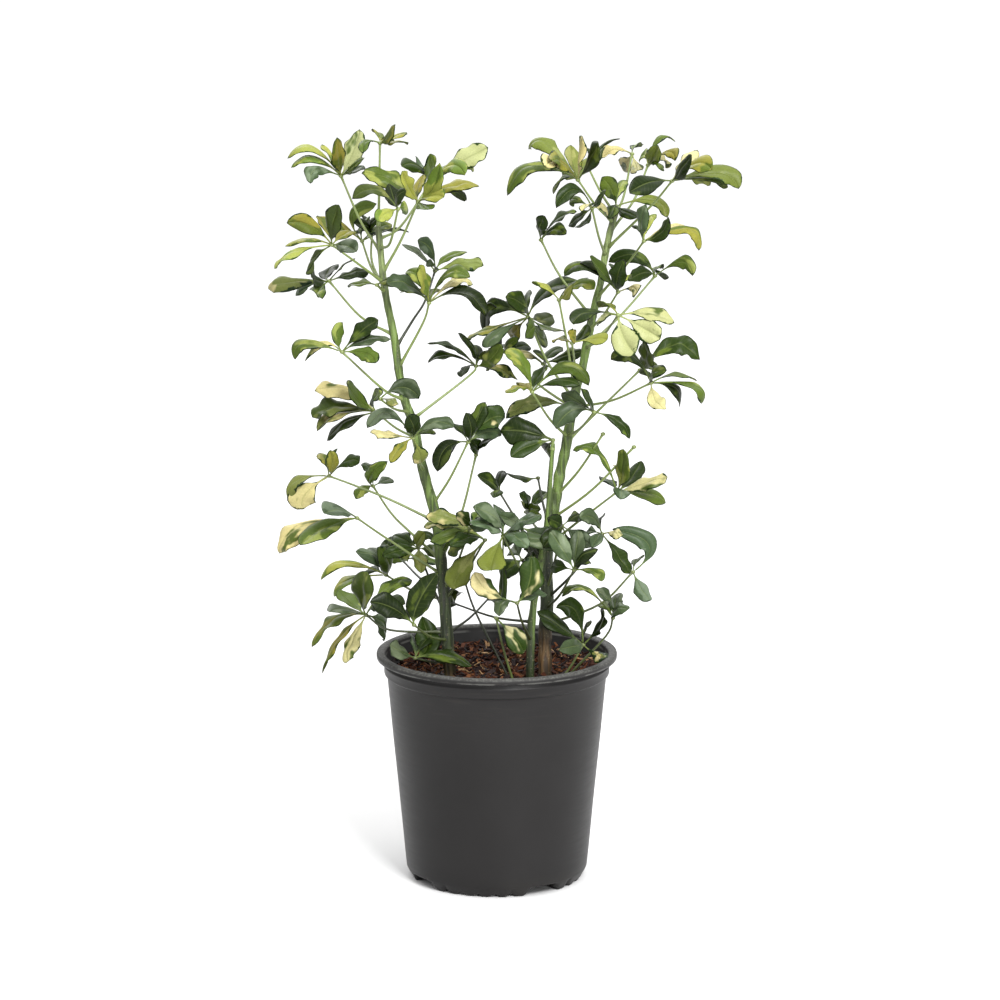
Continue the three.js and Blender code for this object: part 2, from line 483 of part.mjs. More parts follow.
function potSolid() {
  const rimUnderside = POT_HEIGHT - RIM_DEPTH;
  const ringInner = FOOT_RADIUS - FOOT_RING_WIDTH;
  const inside = COLLAR_RADIUS - WALL;
  const body = solidOf(lathe([
    [0, FLOOR_UNDERSIDE], [ringInner, FLOOR_UNDERSIDE], [ringInner, 0], [FOOT_RADIUS, 0],
    [BODY_FOOT_RADIUS, CORNER_HEIGHT], [BODY_TOP_RADIUS, COLLAR_BOTTOM], [COLLAR_RADIUS, COLLAR_BOTTOM + 2],
    [COLLAR_RADIUS, rimUnderside - 1], [RIM_RADIUS, rimUnderside], [RIM_RADIUS, POT_HEIGHT - 1],
    [RIM_RADIUS - 2, POT_HEIGHT], [RIM_INNER_RADIUS + 2, POT_HEIGHT], [RIM_INNER_RADIUS, POT_HEIGHT - 3],
    [inside, COLLAR_BOTTOM + 3], [BODY_TOP_RADIUS - WALL, COLLAR_BOTTOM - 1],
    [potRadiusInside(CORNER_HEIGHT), CORNER_HEIGHT], [potRadiusInside(CORNER_HEIGHT) - 3, FLOOR_TOP], [0, FLOOR_TOP],
  ]));
  const notchReach = BODY_FOOT_RADIUS - ringInner + 10;
  const notches = Array.from({ length: DRAIN_NOTCHES }, (_, i) => {
    const box = new THREE.BoxGeometry(notchReach, DRAIN_NOTCH_WIDTH, 2 * DRAIN_NOTCH_HEIGHT);
    box.translate(ringInner - 5 + notchReach / 2, 0, 0);
    box.rotateZ(THREE.MathUtils.degToRad(FIRST_NOTCH_DEG - 90 + (360 / DRAIN_NOTCHES) * i));
    return solidOf(box);
  });
  return body.subtract(wasm.Manifold.union(notches));
}

function soilSolid(stemHoles, stalkHoles) {
  const angleStep = (2 * Math.PI) / POT_SIDES;
  const ringAt = (radius, height) => Array.from({ length: POT_SIDES }, (_, k) => {
    const [x, y] = [radius * Math.sin(k * angleStep), -radius * Math.cos(k * angleStep)];
    return new THREE.Vector3(x, y, height(k));
  });
  const rough = (seed) => SOIL_TOP + SOIL_ROUGHNESS * (chance(seed) - 0.5);
  const wallTop = COLLAR_RADIUS - WALL - SOIL_GAP;
  const bodyTop = BODY_TOP_RADIUS - WALL - SOIL_GAP;
  const bottom = FLOOR_TOP + SOIL_GAP;
  const rings = [
    [new THREE.Vector3(0, 0, bottom)],
    ringAt(potRadiusInside(CORNER_HEIGHT) - 3 - SOIL_GAP, () => bottom),
    ringAt(potRadiusInside(CORNER_HEIGHT) - SOIL_GAP, () => CORNER_HEIGHT + SOIL_GAP),
    ringAt(bodyTop, () => COLLAR_BOTTOM - 1),
    ringAt(wallTop, () => COLLAR_BOTTOM + 4),
    ...SOIL_RINGS.toReversed().map((radius, i) => ringAt(radius, (k) => rough(100 * i + k))),
    [new THREE.Vector3(0, 0, SOIL_TOP)],
  ];
  return solidOf(loft(rings)).subtract(wasm.Manifold.union([...stemHoles, ...stalkHoles]));
}

// The colour that most of a leaf's leaflets have.
function leafColour({ tips }) {
  const letters = tips.map(([, , code]) => code[0]);
  const count = (letter) => letters.filter((other) => other === letter).length;
  return TONES[letters.reduce((best, letter) => (count(letter) > count(best) ? letter : best))];
}

function named(name, solid, colour, roughness) {
  const material = new THREE.MeshStandardMaterial({ color: colour, roughness, metalness: 0 });
  const mesh = new THREE.Mesh(geometryOf(solid), material);
  mesh.name = name;
  return mesh;
}

const plant = new THREE.Group();
plant.add(named('nursery_pot', potSolid(), 0x36383a, 0.55));

const stemHoles = Object.values(STEMS).map((stem) => stemTube(stem, SEAT_GAP));
const stalkHoles = LEAVES.filter((leaf) => leaf.soil)
  .map((leaf) => stalkTube(leaf, fromPhoto(leaf.hub, leaf.depth), SEAT_GAP));
plant.add(named('potting_mix', soilSolid(stemHoles, stalkHoles), 0x6a4a35, 0.95));

const pieces = new Map();
Object.entries(STEMS).forEach(([name, stem]) => {
  pieces.set(`stem_${name}`, { solids: [stemTube(stem, 0)], colour: stem.colour });
});
LEAVES.forEach((leaf, number) => {
  const piece = pieces.get(leaf.node) ?? { solids: [], colour: leafColour(leaf) };
  piece.solids.push(leafSolid(leaf, number));
  pieces.set(leaf.node, piece);
});
const standing = wasm.Manifold.union(stemHoles);
for (const [name, { solids, colour }] of pieces) {
  const joined = wasm.Manifold.union(solids);
  const clear = name.startsWith('stem_') ? joined : joined.subtract(standing);
  plant.add(named(name, largestBody(clear), colour, 0.45));
}

// The origin is under the middle of the whole plant's box, on the floor.
const box = new THREE.Box3().setFromObject(plant);
plant.position.set(-(box.min.x + box.max.x) / 2, -(box.min.y + box.max.y) / 2, 0);

export default plant;
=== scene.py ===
# Potted umbrella plant: the fine pieces, finishes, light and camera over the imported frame.
# Lengths are millimetres from the pot's axis and the floor, and pixels are places in the photograph.
import json
import math
import random
from collections import namedtuple
import bpy
from mathutils import Matrix, Vector, noise


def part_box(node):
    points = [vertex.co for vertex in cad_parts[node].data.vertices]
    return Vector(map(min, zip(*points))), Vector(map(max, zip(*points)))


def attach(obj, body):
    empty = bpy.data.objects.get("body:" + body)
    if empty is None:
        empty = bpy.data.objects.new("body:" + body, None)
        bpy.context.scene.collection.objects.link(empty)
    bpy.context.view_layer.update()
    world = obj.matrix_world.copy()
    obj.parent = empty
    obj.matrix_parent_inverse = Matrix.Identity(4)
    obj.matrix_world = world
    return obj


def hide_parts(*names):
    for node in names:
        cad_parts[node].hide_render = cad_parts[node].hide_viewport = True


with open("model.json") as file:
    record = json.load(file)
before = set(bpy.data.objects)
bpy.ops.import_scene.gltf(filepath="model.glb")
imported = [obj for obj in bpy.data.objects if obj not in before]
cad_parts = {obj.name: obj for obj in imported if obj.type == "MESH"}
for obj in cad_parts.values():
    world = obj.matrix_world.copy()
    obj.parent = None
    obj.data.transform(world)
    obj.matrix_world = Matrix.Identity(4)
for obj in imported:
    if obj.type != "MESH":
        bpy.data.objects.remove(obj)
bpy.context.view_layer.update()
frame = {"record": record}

MM = 0.001
POT_LOW, POT_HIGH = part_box("nursery_pot")
POT_AXIS = Vector(((POT_LOW.x + POT_HIGH.x) / 2, (POT_LOW.y + POT_HIGH.y) / 2, 0))

# The photograph's view: where the eye stands, how far down it looks, its focal length in pixels.
EYE = Vector((3.4, -4500, 1340))
LOOK_DOWN = math.radians(11.72)
FOCAL_PX = 4383
IMAGE_PX = 1000
CENTRE_PX = IMAGE_PX / 2
SENSOR_WIDTH = 36
TO_EYE = Vector((0, -math.cos(LOOK_DOWN), math.sin(LOOK_DOWN)))

# Pot
POT_SIDES = 180
POT_HEIGHT = 244
BODY_ROWS = 24
RIM_RADIUS = 127
RIM_INNER_RADIUS = 117.4
RIM_UNDERSIDE = 237.5
COLLAR_RADIUS = 119
COLLAR_BOTTOM = 220
BEAD_HEIGHT = 231
BODY_TOP_RADIUS = 116
BODY_FOOT_RADIUS = 96
CORNER_HEIGHT = 12
FOOT_RADIUS = 90
FOOT_RING_WIDTH = 9
WALL = 2.2
FLOOR_UNDERSIDE = 6
FLOOR_TOP = 9
DRAIN_NOTCHES = 4
DRAIN_NOTCH_HEIGHT = 10.5
DRAIN_NOTCH_HALF_DEG = 9.5
DRAIN_NOTCH_SLOPE_DEG = 3.5
FIRST_NOTCH_DEG = -58
KEYHOLE_FROM_NOTCH_DEG = 22
KEYHOLE_HALF_DEG = 1.6
KEYHOLE_HEIGHT = 9
KEYHOLE_DEPTH = 2.2
SCALLOP_EVERY_DEG = 11.25
SCALLOP_HALF_DEG = 3.2
SCALLOP_HEIGHT = 3.2
RIM_RAGGED = 0.35
WALL_WOBBLE = 0.25

# Potting mix
SOIL_SIDES = 120
SOIL_ROWS = 16
SOIL_TOP = 226
SOIL_RELIEF = 1.8
SOIL_RADIUS = 116
SOIL_GAP = 0.5
CHIPS = 1900
CHIP_LENGTH = (5, 19)
CHIP_WIDTH = (1.4, 6.4)
CHIP_THICKNESS = (0.7, 2.6)
CHIP_CLEARANCE = 3
CHIP_ABOVE_SOIL = (-0.6, 2.0)
CHIP_TONE = 0.44
FIBRE_SHARE = 0.16
FIBRE_LENGTH = (9, 24)
FIBRE_WIDTH = (0.5, 1.1)
FIBRE_TONE = 0.8
TONE_SPREAD = 0.22

# Stems and stalks
STEM_SIDES = 18
STEM_STEPS = 8
STEM_IN_SOIL = 70
STEM_CLEARANCE = 3
SCAR_GAP = (14, 30)
STALK_SIDES = 8
STALK_STEPS = 6
STALK_IN_SOIL = 26
STALK_FOOT_RADIUS = 1.55
STALK_RADIUS = 1.0
STALK_SAG = 0.05
HUB_RADIUS = 2.6
HUB_HALF_HEIGHT = 0.85 * HUB_RADIUS
# From these pixel rows down, stalks are painted darker as shade.
SHADE_STARTS_PX = 430
SHADE_FULL_PX = 560

# Leaflets
BLADE_WIDTH = 0.4
BLADE_ARCH = 0.13
BLADE_THICKNESS = 0.5
LEAFLET_STALK_RADIUS = 0.8
LEAFLET_STALK_RIM = 5
MIDRIB_GROOVE = 0.3
SHORTEST_REACH = 50
DEPTH_SHARE = 0.8
SEEN_WIDTH = 1.32
NARROWEST_VIEW = 0.25
FULLEST_VIEW = 0.98
MOST_BROADENED = 1.7
MIDDLE_DROP = 0.3
SEEDS_PER_LEAF = 16
SPOT_SIZE = 20

# How leaflets differ: each habit's least and most, and the shift of the seed that chooses between
# them. Cream and variegated leaflets roll and ripple more.
HABITS = {
    "fold": (0.2, 0.75, 1.1), "roll": (0.1, 1.1, 1.3), "ripple": (0.2, 0.75, 1.7),
    "twist": (-0.5, 0.5, 1.9), "waves": (1.2, 2.8, 2.1), "hook": (0, 0.09, 2.2),
    "broad": (0.86, 1.2, 2.4),
}
WILD_TONES = "cv"
WILDER = 1.5

# Half width along a leaflet, from its root to its tip, as a share of the broadest place.
OUTLINE = [
    (0, 0.08), (0.13, 0.07), (0.2, 0.2), (0.28, 0.48), (0.38, 0.76), (0.5, 0.95), (0.62, 1),
    (0.74, 0.95), (0.84, 0.77), (0.91, 0.54), (0.96, 0.3), (0.985, 0.13), (1, 0),
]
STALK_END = 0.14
LANES = (0.1, 0.28, 0.48, 0.68, 0.86, 1)
STATIONS = 22

# Colours are given as the photograph shows them, as red, green and blue of 255. The surface itself is
# darker than that, by the white shine that lies on it and by how much light falls on it.
LIGHT = 2.3
SHINE = 0.022

# Leaf colours by the first letter of a tip's code: d dark, g green, l light green, s grey-green with the
# wax's sheen painted in, o olive, y young yellow, p palest, c cream, m dark with cream and v light with
# cream.
# Each has the colour of the middle, of its patches and of the edge, how much is patched and the edge's
# width. The lightness of a tone's leaflets lies between two shares.
TONES = {
    "d": ((58, 71, 34), (100, 116, 56), (32, 44, 24), 0.34, 0.8),
    "g": ((94, 112, 56), (156, 166, 90), (44, 60, 32), 0.4, 1.2),
    "p": ((214, 216, 150), (104, 122, 62), (62, 84, 40), 0.3, 1.4),
    "o": ((164, 159, 74), (112, 126, 60), (66, 82, 40), 0.5, 1.2),
    "y": ((173, 179, 90), (118, 140, 66), (84, 104, 46), 0.46, 1.2),
    "c": ((228, 217, 154), (96, 112, 58), (60, 78, 42), 0.32, 1.3),
    "v": ((140, 150, 84), (222, 212, 150), (50, 68, 36), 0.42, 2.4),
    "m": ((70, 88, 50), (222, 212, 156), (42, 58, 32), 0.38, 1.0),
    "l": ((134, 146, 72), (168, 174, 104), (66, 88, 44), 0.4, 1.0),
    "s": ((86, 102, 74), (124, 138, 110), (54, 70, 50), 0.42, 0.8),
}
LIGHTNESS = {
    "d": (0.5, 1.5), "g": (0.6, 1.35), "s": (0.65, 1.25), "o": (0.8, 1.08), "y": (0.84, 1.16),
    "l": (0.74, 1),
}
USUAL_LIGHTNESS = (0.75, 1.2)
VEIN_SHADE = (150, 164, 96)
UNDERSIDE_PALER_AND_SHADED = (112, 122, 88)
SIDE_VEINS = 11.0
VEIN_SLANT = 0.108
PATCH_SOFTNESS = 0.09
EDGE_RAGGEDNESS = 66.0
# Stalk colours: green, and a dark colour painted on as shade; the listed stalks are painted fully shaded.
STALK_GREEN = (150, 168, 98)
STALK_SHADED = (60, 66, 38)
HUB_LIGHT = (160, 172, 104)
SHADOWED_STALKS = ("leaf_left_07", "leaf_left_24", "leaf_middle_02", "leaf_right_20", "leaf_right_27")

# Bark from the soil up: after the brown, each colour and the heights in metres where it takes over. The
# dark olive is painted shade under the leaves; the pale top green is young stem with a painted highlight.
BARK_BROWN = (112, 88, 60)
BARK_AND_PAINTED_LIGHT_ABOVE = [((64, 76, 38), 0.24, 0.29), ((116, 140, 70), 0.34, 0.44), ((156, 172, 112), 0.58, 0.74)]
PORE_SHADE = (176, 168, 130)
SCAR_SHADE = (52, 42, 28)

# The pot's two blacks, its dust, and the grey of its paler rim top and of the highlight painted along the
# rim's lower edge.
POT_DEEP = (52, 51, 51)
POT_PALE = (65, 64, 64)
POT_DUST = (92, 88, 82)
RIM_GREY_AND_HIGHLIGHT = (118, 118, 114)
DUSTINESS = 0.16

# The heights on the pot between which dust comes in below the rim and at the foot, the rim's top turns
# paler grey, and a painted highlight comes and goes along the rim's lower edge.
DUST_BELOW_RIM = (150.0, 240.0)
DUST_AT_FOOT = (26.0, 4.0)
PALE_TOP_HEIGHTS = (240.4, 242.6)
LOWER_HIGHLIGHT_STARTS = (236.4, 237.2)
LOWER_HIGHLIGHT_ENDS = (239.8, 238.4)

# The mix's colours from damp to dry, each with its place on the ramp.
MIX_STOPS = [
    (0.0, (18, 11, 8)), (0.38, (60, 36, 23)), (0.64, (110, 66, 42)), (0.82, (160, 108, 70)),
    (1.0, (214, 176, 130)),
]

# Lamps in metres: place, size and watts. The dome's strength is lowest at the horizon.
LAMPS = {
    "key": ((1.3, -3.3, 3.0), 1.4, 285),
    "front": ((1.3, -3.0, 0.75), 0.8, 44),
    "fill": ((-3.0, -2.2, 1.6), 1.8, 8),
    "back": ((-1.2, 3.4, 2.6), 2.2, 45),
}
LAMP_AIM = Vector((0, 0, 0.4))
DOME_HORIZON = 0.25
DOME_TOP = 2.9
FLOOR_REACH = 60

# Stem lines in pixels from the soil up, with the depth and radius at both ends. A young stem is greener.
STEMS = {
    "left": {
        "line": [
            (450, 677), (447, 635), (444, 590), (441, 560), (436, 518), (426, 481), (421, 461), (413, 423),
            (406, 404), (400, 378), (394, 336), (387, 302), (383, 277), (381, 255), (378, 226)],
        "depth": (-45, -25), "radius": (6.8, 3.4), "young": 0.02,
    },
    "right": {
        "line": [
            (545, 677), (545, 633), (547, 602), (547, 557), (552, 519), (556, 498), (560, 473), (565, 452),
            (570, 423), (577, 385), (583, 365), (589, 332), (596, 302), (601, 281), (605, 256), (610, 232),
            (616, 210)],
        "depth": (-42, 0), "radius": (7.3, 3.4), "young": 0,
    },
    "middle": {
        "line": [
            (530, 679), (531, 633), (533, 610), (536, 587), (541, 560), (546, 530), (548, 515), (550, 481),
            (552, 456), (553, 444)],
        "depth": (-64, -70), "radius": (4.6, 2.4), "young": 0.09,
    },
}

# Each leaf: the node it belongs to; as root and foot, the stem it grows from and its height there as a
# pixel row, or its pixel on the soil and the depth there; the stalk's bends; the hub's pixel and depth;
# and each leaflet's tip, code and, if it bends, its middle. A code is a tone letter and the seen width
# in pixels, then f or b where the tip lies nearer or farther.
LEAF_TABLE = [
    ("leaf_left_01", "left", 252, [(361, 222)], (341, 176), 22, [
        (286, 158, "y9", 311, 145), (289, 166, "y7", 313, 156), (312, 182, "s13", 316, 166),
        (323, 143, "y8", 333, 158), (338, 138, "o13", 339, 156), (359, 129, "p19", 352, 148),
        (361, 157, "g9", 353, 164), (364, 165, "d9", 352, 168)]),
    ("leaf_left_02", "left", 283, [(357, 263)], (332, 245), -75, [
        (287, 223, "o17", 311, 221), (284, 245, "y5", 308, 238), (274, 269, "y9", 293, 250),
        (312, 272, "g9", 312, 257), (355, 250, "s14", 346, 241), (338, 205, "g12", 332, 222),
        (318, 214, "o10", 328, 226), (356, 231, "o12", 344, 230)]),
    ("leaf_left_03", "left", 281, [(372, 269)], (362, 241), 35, [
        (317, 215, "o10", 340, 222), (376, 204, "g12", 352, 212), (369, 217, "g6"),
        (392, 224, "g8", 378, 226), (410, 232, "d3", 390, 229)]),
    ("leaf_left_04", "left", 248, [(390, 243)], (398, 209), -85, [
        (352, 199, "g12", 375, 186), (389, 183, "d14", 394, 195), (405, 190, "d5"),
        (409, 213, "g11", 404, 204), (379, 221, "y13", 385, 210)]),
    ("leaf_left_05", "left", 273, [], (418, 202), -35, [
        (362, 170, "g13", 394, 178), (402, 171, "y9", 410, 186), (424, 172, "o10", 417, 186),
        (438, 164, "y17", 432, 183), (480, 184, "o13", 452, 182), (444, 197, "y7", 432, 193),
        (467, 199, "d6", 448, 188), (428, 209, "g9", 424, 203)]),
    ("leaf_left_06", "left", 239, [(401, 226)], (432, 180), 42, [
        (488, 147, "p18", 462, 155), (477, 170, "y12", 462, 160), (463, 174, "y10", 452, 162),
        (452, 160, "g10", 444, 167), (430, 154, "g11", 431, 167), (417, 157, "s5", 424, 168),
        (402, 166, "d9", 416, 163)]),
    ("leaf_left_07", "left", 348, [(413, 320), (425, 301)], (435, 271), 20, [
        (402, 243, "s6", 418, 251), (418, 240, "s9", 431, 248), (484, 265, "v15", 464, 259),
        (468, 252, "g8", 448, 254), (427, 266, "d6")]),
    ("leaf_left_08", "left", 368, [(423, 323)], (429, 303), -60, [
        (405, 270, "g12", 418, 272), (386, 283, "s10", 408, 281), (421, 265, "y10", 426, 283),
        (470, 277, "g9", 448, 270), (474, 284, "c8", 455, 279), (489, 316, "d9", 464, 289),
        (440, 290, "g6"), (400, 291, "y6")]),
    ("leaf_left_09", "left", 335, [(361, 317)], (329, 281), 0, [
        (268, 290, "v15", 285, 279), (302, 291, "s8", 304, 283), (320, 297, "g14", 318, 286),
        (338, 262, "d12", 326, 270), (369, 269, "d10", 350, 271), (354, 257, "d2", 342, 266),
        (312, 273, "d8", 316, 277)]),
    ("leaf_left_10", "left", 400, [(384, 390)], (342, 352), -60, [
        (295, 360, "g12", 304, 340), (303, 361, "v9", 322, 341), (343, 322, "g11", 337, 334),
        (378, 319, "d13", 360, 328), (391, 338, "s11", 366, 336), (375, 363, "g15", 366, 349)]),
    ("leaf_left_11", "left", 438, [], (376, 412), 10, [
        (314, 390, "c10", 345, 388), (347, 381, "g14", 358, 394), (311, 417, "g14", 334, 402),
        (316, 431, "v9", 338, 410), (325, 440, "d12", 345, 419), (379, 391, "d5")]),
    ("leaf_left_12", "left", 412, [], (380, 399), -95, [
        (420, 399, "s17", 402, 382), (393, 405, "v7", 391, 398), (382, 394, "g5")]),
    ("leaf_left_13", "left", 470, [], (413, 438), -100, [
        (366, 428, "s9", 388, 410), (371, 432, "c10", 385, 431), (455, 427, "s12", 434, 419),
        (421, 465, "v15", 420, 450), (436, 431, "g8"), (390, 463, "o9"), (409, 416, "d16", 414, 424)]),
    ("leaf_left_14", "left", 420, [(469, 376)], (476, 366), 10, [
        (427, 340, "d6", 452, 345), (428, 363, "d5", 447, 353), (458, 333, "d7"), (476, 343, "d9"),
        (500, 345, "g15", 489, 356), (520, 378, "v9", 498, 366), (461, 377, "d4")]),
    ("leaf_left_15", "left", 505, [], (468, 442), -77, [
        (448, 421, "d8"), (467, 413, "d10"), (505, 418, "m20", 488, 414), (437, 472, "d16", 446, 443),
        (502, 436, "s12", 488, 428), (485, 402, "d14", 477, 416)]),
    ("leaf_left_16", "left", 560, [(461, 515)], (476, 455), -10, [
        (488, 440, "d7"), (497, 436, "d7"), (470, 440, "d7")]),
    ("leaf_left_17", "left", 560, [(410, 532), (391, 513)], (373, 486), 10, [
        (356, 499, "g10", 363, 486), (387, 462, "g13", 370, 472), (361, 462, "d9", 370, 466),
        (393, 477, "s8", 385, 478)]),
    ("leaf_left_18", "left", 575, [(386, 538)], (357, 518), -75, [
        (278, 554, "c19", 298, 524), (300, 545, "g18f", 322, 523), (325, 511, "s8", 340, 507)]),
    ("leaf_left_19", "left", 522, [(391, 500), (356, 486)], (329, 476), -30, [
        (290, 502, "v10", 296, 478), (303, 510, "c24", 306, 486), (319, 453, "o8"), (330, 450, "o10"),
        (337, 448, "d6"), (359, 462, "d7", 347, 459)]),
    ("leaf_left_20", "left", 600, [], (386, 575), 30, [
        (319, 580, "y10", 343, 560), (331, 596, "y11", 347, 577), (357, 550, "s9"), (370, 545, "d9"),
        (378, 547, "g12"), (362, 575, "d8")]),
    ("leaf_left_21", "left", 632, [(390, 630)], (366, 615), -45, [
        (340, 588, "g12", 352, 599), (366, 572, "g12", 361, 592), (330, 609, "s6", 346, 607),
        (311, 647, "o8", 334, 617), (321, 674, "o9", 338, 637), (346, 661, "c16", 351, 640),
        (413, 578, "d13", 388, 583), (385, 639, "s12", 383, 620), (405, 603, "d10")]),
    ("leaf_left_22", "left", 640, [], (414, 625), -124, [
        (438, 572, "d20", 418, 597), (370, 602, "d20", 393, 602), (390, 612, "d10")]),
    ("leaf_left_23", "left", 662, [], (415, 658), -60, [
        (474, 664, "d14", 444, 651), (422, 616, "d22b", 428, 637), (438, 632, "d10b"),
        (390, 645, "s11", 402, 649), (413, 636, "s11")]),
    ("leaf_left_24", "left", 590, [], (402, 560), 66, [
        (383, 541, "d18"), (411, 533, "d12", 397, 543), (438, 541, "d11", 422, 532), (388, 560, "g8"),
        (443, 566, "g8")]),
    ("leaf_left_25", "left", 600, [], (485, 540), -80, [
        (422, 525, "v12", 452, 519), (441, 550, "g12", 462, 531), (453, 590, "l22", 462, 562),
        (449, 545, "d10")]),
    ("leaf_middle_01", "middle", 590, [], (503, 536), -111, [
        (492, 570, "l24", 492, 553), (541, 516, "s12", 520, 519), (563, 545, "s14", 535, 535),
        (528, 547, "s10"), (498, 604, "d10", 502, 585), (470, 521, "s12f"), (475, 505, "s10"),
        (498, 505, "s14")]),
    ("leaf_middle_02", "middle", 560, [(514, 516)], (500, 493), -40, [
        (477, 475, "d9"), (504, 470, "d9"), (494, 498, "d9")]),
    ("leaf_middle_03", "middle", 535, [], (526, 512), -5, [
        (523, 506, "g6"), (547, 490, "d12"), (540, 509, "g10"), (520, 493, "d6")]),
    ("leaf_right_01", "right", 222, [], (578, 180), -45, [
        (504, 195, "g10", 532, 163), (527, 149, "l12", 546, 140), (547, 166, "c7", 556, 160),
        (572, 144, "l11", 574, 160), (553, 160, "o11", 563, 160), (581, 138, "c7", 580, 156),
        (598, 143, "d10", 590, 158), (592, 153, "o12", 584, 165), (567, 178, "y6"),
        (553, 194, "g3", 562, 177)]),
    ("leaf_right_02", "right", 214, [], (588, 167), 35, [
        (620, 136, "d4", 602, 145), (594, 159, "c6", 592, 160), (583, 147, "d7", 592, 151),
        (603, 147, "g7", 598, 156)]),
    ("leaf_right_03", "right", 218, [(624, 195)], (632, 154), 74, [
        (602, 158, "c10", 614, 146), (620, 168, "c15", 625, 160), (637, 169, "c14", 636, 162),
        (641, 145, "d4")]),
    ("leaf_right_04", "right", 232, [(634, 200)], (648, 165), 34, [
        (677, 140, "g5", 659, 137), (638, 161, "y12", 644, 151), (657, 146, "l14", 652, 155),
        (666, 168, "c10", 664, 155), (675, 161, "o5", 668, 150), (663, 171, "d3")]),
    ("leaf_right_05", "right", 249, [(651, 206)], (672, 181), -55, [
        (739, 189, "l13", 719, 168), (724, 188, "g6", 712, 176), (712, 170, "o10", 695, 160),
        (630, 192, "d14", 650, 178), (690, 155, "d13", 680, 168), (696, 147, "c10", 684, 160),
        (709, 183, "y4", 694, 177)]),
    ("leaf_right_06", "right", 255, [], (592, 208), -80, [
        (556, 208, "d9", 575, 186), (573, 206, "g10", 574, 196), (604, 190, "d8", 597, 199),
        (581, 210, "c5"), (608, 214, "c7"), (567, 225, "d6", 581, 214), (576, 227, "d4", 586, 220)]),
    ("leaf_right_07", "right", 298, [(627, 264)], (644, 241), -72, [
        (699, 251, "o10", 688, 226), (684, 223, "c9", 668, 225), (634, 227, "d8"),
        (646, 204, "s12", 641, 222), (668, 217, "d10", 661, 230), (656, 213, "y7")]),
    ("leaf_right_08", "right", 318, [(560, 276)], (541, 240), 15, [
        (543, 217, "d8", 540, 226), (565, 234, "d11", 554, 226), (577, 211, "d6", 558, 216)]),
    ("leaf_right_09", "right", 330, [], (618, 292), -70, [
        (562, 275, "d7", 585, 264), (590, 256, "g11", 604, 270), (577, 261, "d5", 596, 265),
        (611, 261, "d9"), (624, 259, "d13"), (634, 296, "c13", 634, 284), (629, 277, "y7")]),
    ("leaf_right_10", "right", 348, [(622, 314)], (655, 276), 10, [
        (692, 276, "g13", 682, 258), (608, 262, "d13", 636, 252), (628, 281, "d12", 644, 269),
        (665, 278, "d3"), (661, 267, "d5")]),
    ("leaf_right_11", "right", 348, [], (618, 315), -120, [
        (676, 321, "p14", 651, 309), (660, 339, "p19f", 643, 322), (635, 354, "p25", 624, 330),
        (599, 322, "p10"), (599, 305, "o5", 608, 302), (572, 323, "d7", 588, 310)]),
    ("leaf_right_12", "right", 395, [(567, 343)], (559, 300), -38, [
        (533, 283, "y7", 544, 283), (594, 289, "y8", 580, 281), (572, 284, "y9", 566, 292),
        (589, 277, "d2")]),
    ("leaf_right_13", "right", 400, [(547, 361)], (528, 317), 5, [
        (583, 279, "d11", 548, 286), (483, 337, "d15", 492, 303), (466, 337, "o6", 487, 328),
        (484, 303, "d11", 505, 302), (507, 296, "d11"), (528, 292, "d12"), (511, 342, "o16", 514, 328),
        (554, 313, "g12", 542, 316), (562, 327, "g9", 548, 326), (549, 338, "g14", 540, 330),
        (527, 338, "g8"), (487, 345, "s13", 497, 330)]),
    ("leaf_right_14", "right", 380, [], (572, 343), -106, [
        (553, 339, "o4", 562, 338), (568, 332, "o5"), (587, 323, "d9", 582, 333),
        (607, 339, "y8", 595, 336)]),
    ("leaf_right_15", "right", 437, [], (532, 392), -92, [
        (505, 350, "y12", 523, 360), (589, 386, "g14", 566, 362), (580, 386, "d9", 558, 378),
        (506, 393, "o5"), (545, 363, "d12", 537, 374), (521, 386, "o9")]),
    ("stem_right", "right", 372, [], (543, 364), 42, [
        (563, 345, "d10", 551, 350), (583, 351, "d10", 563, 354), (533, 352, "d6"),
        (492, 345, "d8", 516, 345), (507, 354, "v6")]),
    ("stem_right", "right", 405, [], (565, 405), -38, [
        (504, 417, "v11", 534, 399)]),
    ("leaf_right_16", "right", 436, [], (594, 412), -90, [
        (561, 392, "s13", 576, 396), (556, 429, "s18", 572, 405), (630, 439, "d10", 619, 419),
        (582, 388, "d8", 590, 399)]),
    ("leaf_right_17", "right", 442, [(598, 411)], (640, 370), -28, [
        (701, 360, "d18", 675, 339), (642, 342, "g13", 646, 356), (660, 370, "g10b")]),
    ("leaf_right_18", "right", 407, [], (651, 383), -95, [
        (665, 408, "c14", 655, 395), (682, 408, "d10", 676, 386), (704, 405, "g6", 694, 384),
        (698, 380, "g4", 676, 373), (665, 369, "g5"), (611, 359, "d9", 632, 353), (641, 372, "d5")]),
    ("leaf_right_19", "right", 545, [(579, 521)], (617, 492), -60, [
        (572, 450, "g10", 597, 448), (621, 450, "g9", 622, 470), (641, 460, "d11", 632, 474),
        (665, 476, "c15", 648, 478), (668, 501, "g9", 648, 491), (621, 498, "s9"), (602, 481, "s8"),
        (615, 463, "c6")]),
    ("leaf_right_20", "right", 599, [], (602, 534), -90, [
        (580, 518, "s13", 593, 514), (583, 534, "s9"), (592, 547, "s10"), (618, 538, "c9", 614, 530),
        (632, 573, "d10", 618, 551), (604, 513, "d5")]),
    ("leaf_right_21", "right", 625, [(600, 604)], (633, 572), -45, [
        (612, 529, "s17", 649, 540), (650, 600, "s15", 642, 586), (614, 557, "d7", 626, 564),
        (642, 556, "g7")]),
    ("leaf_right_22", "right", 608, [], (574, 570), -126, [
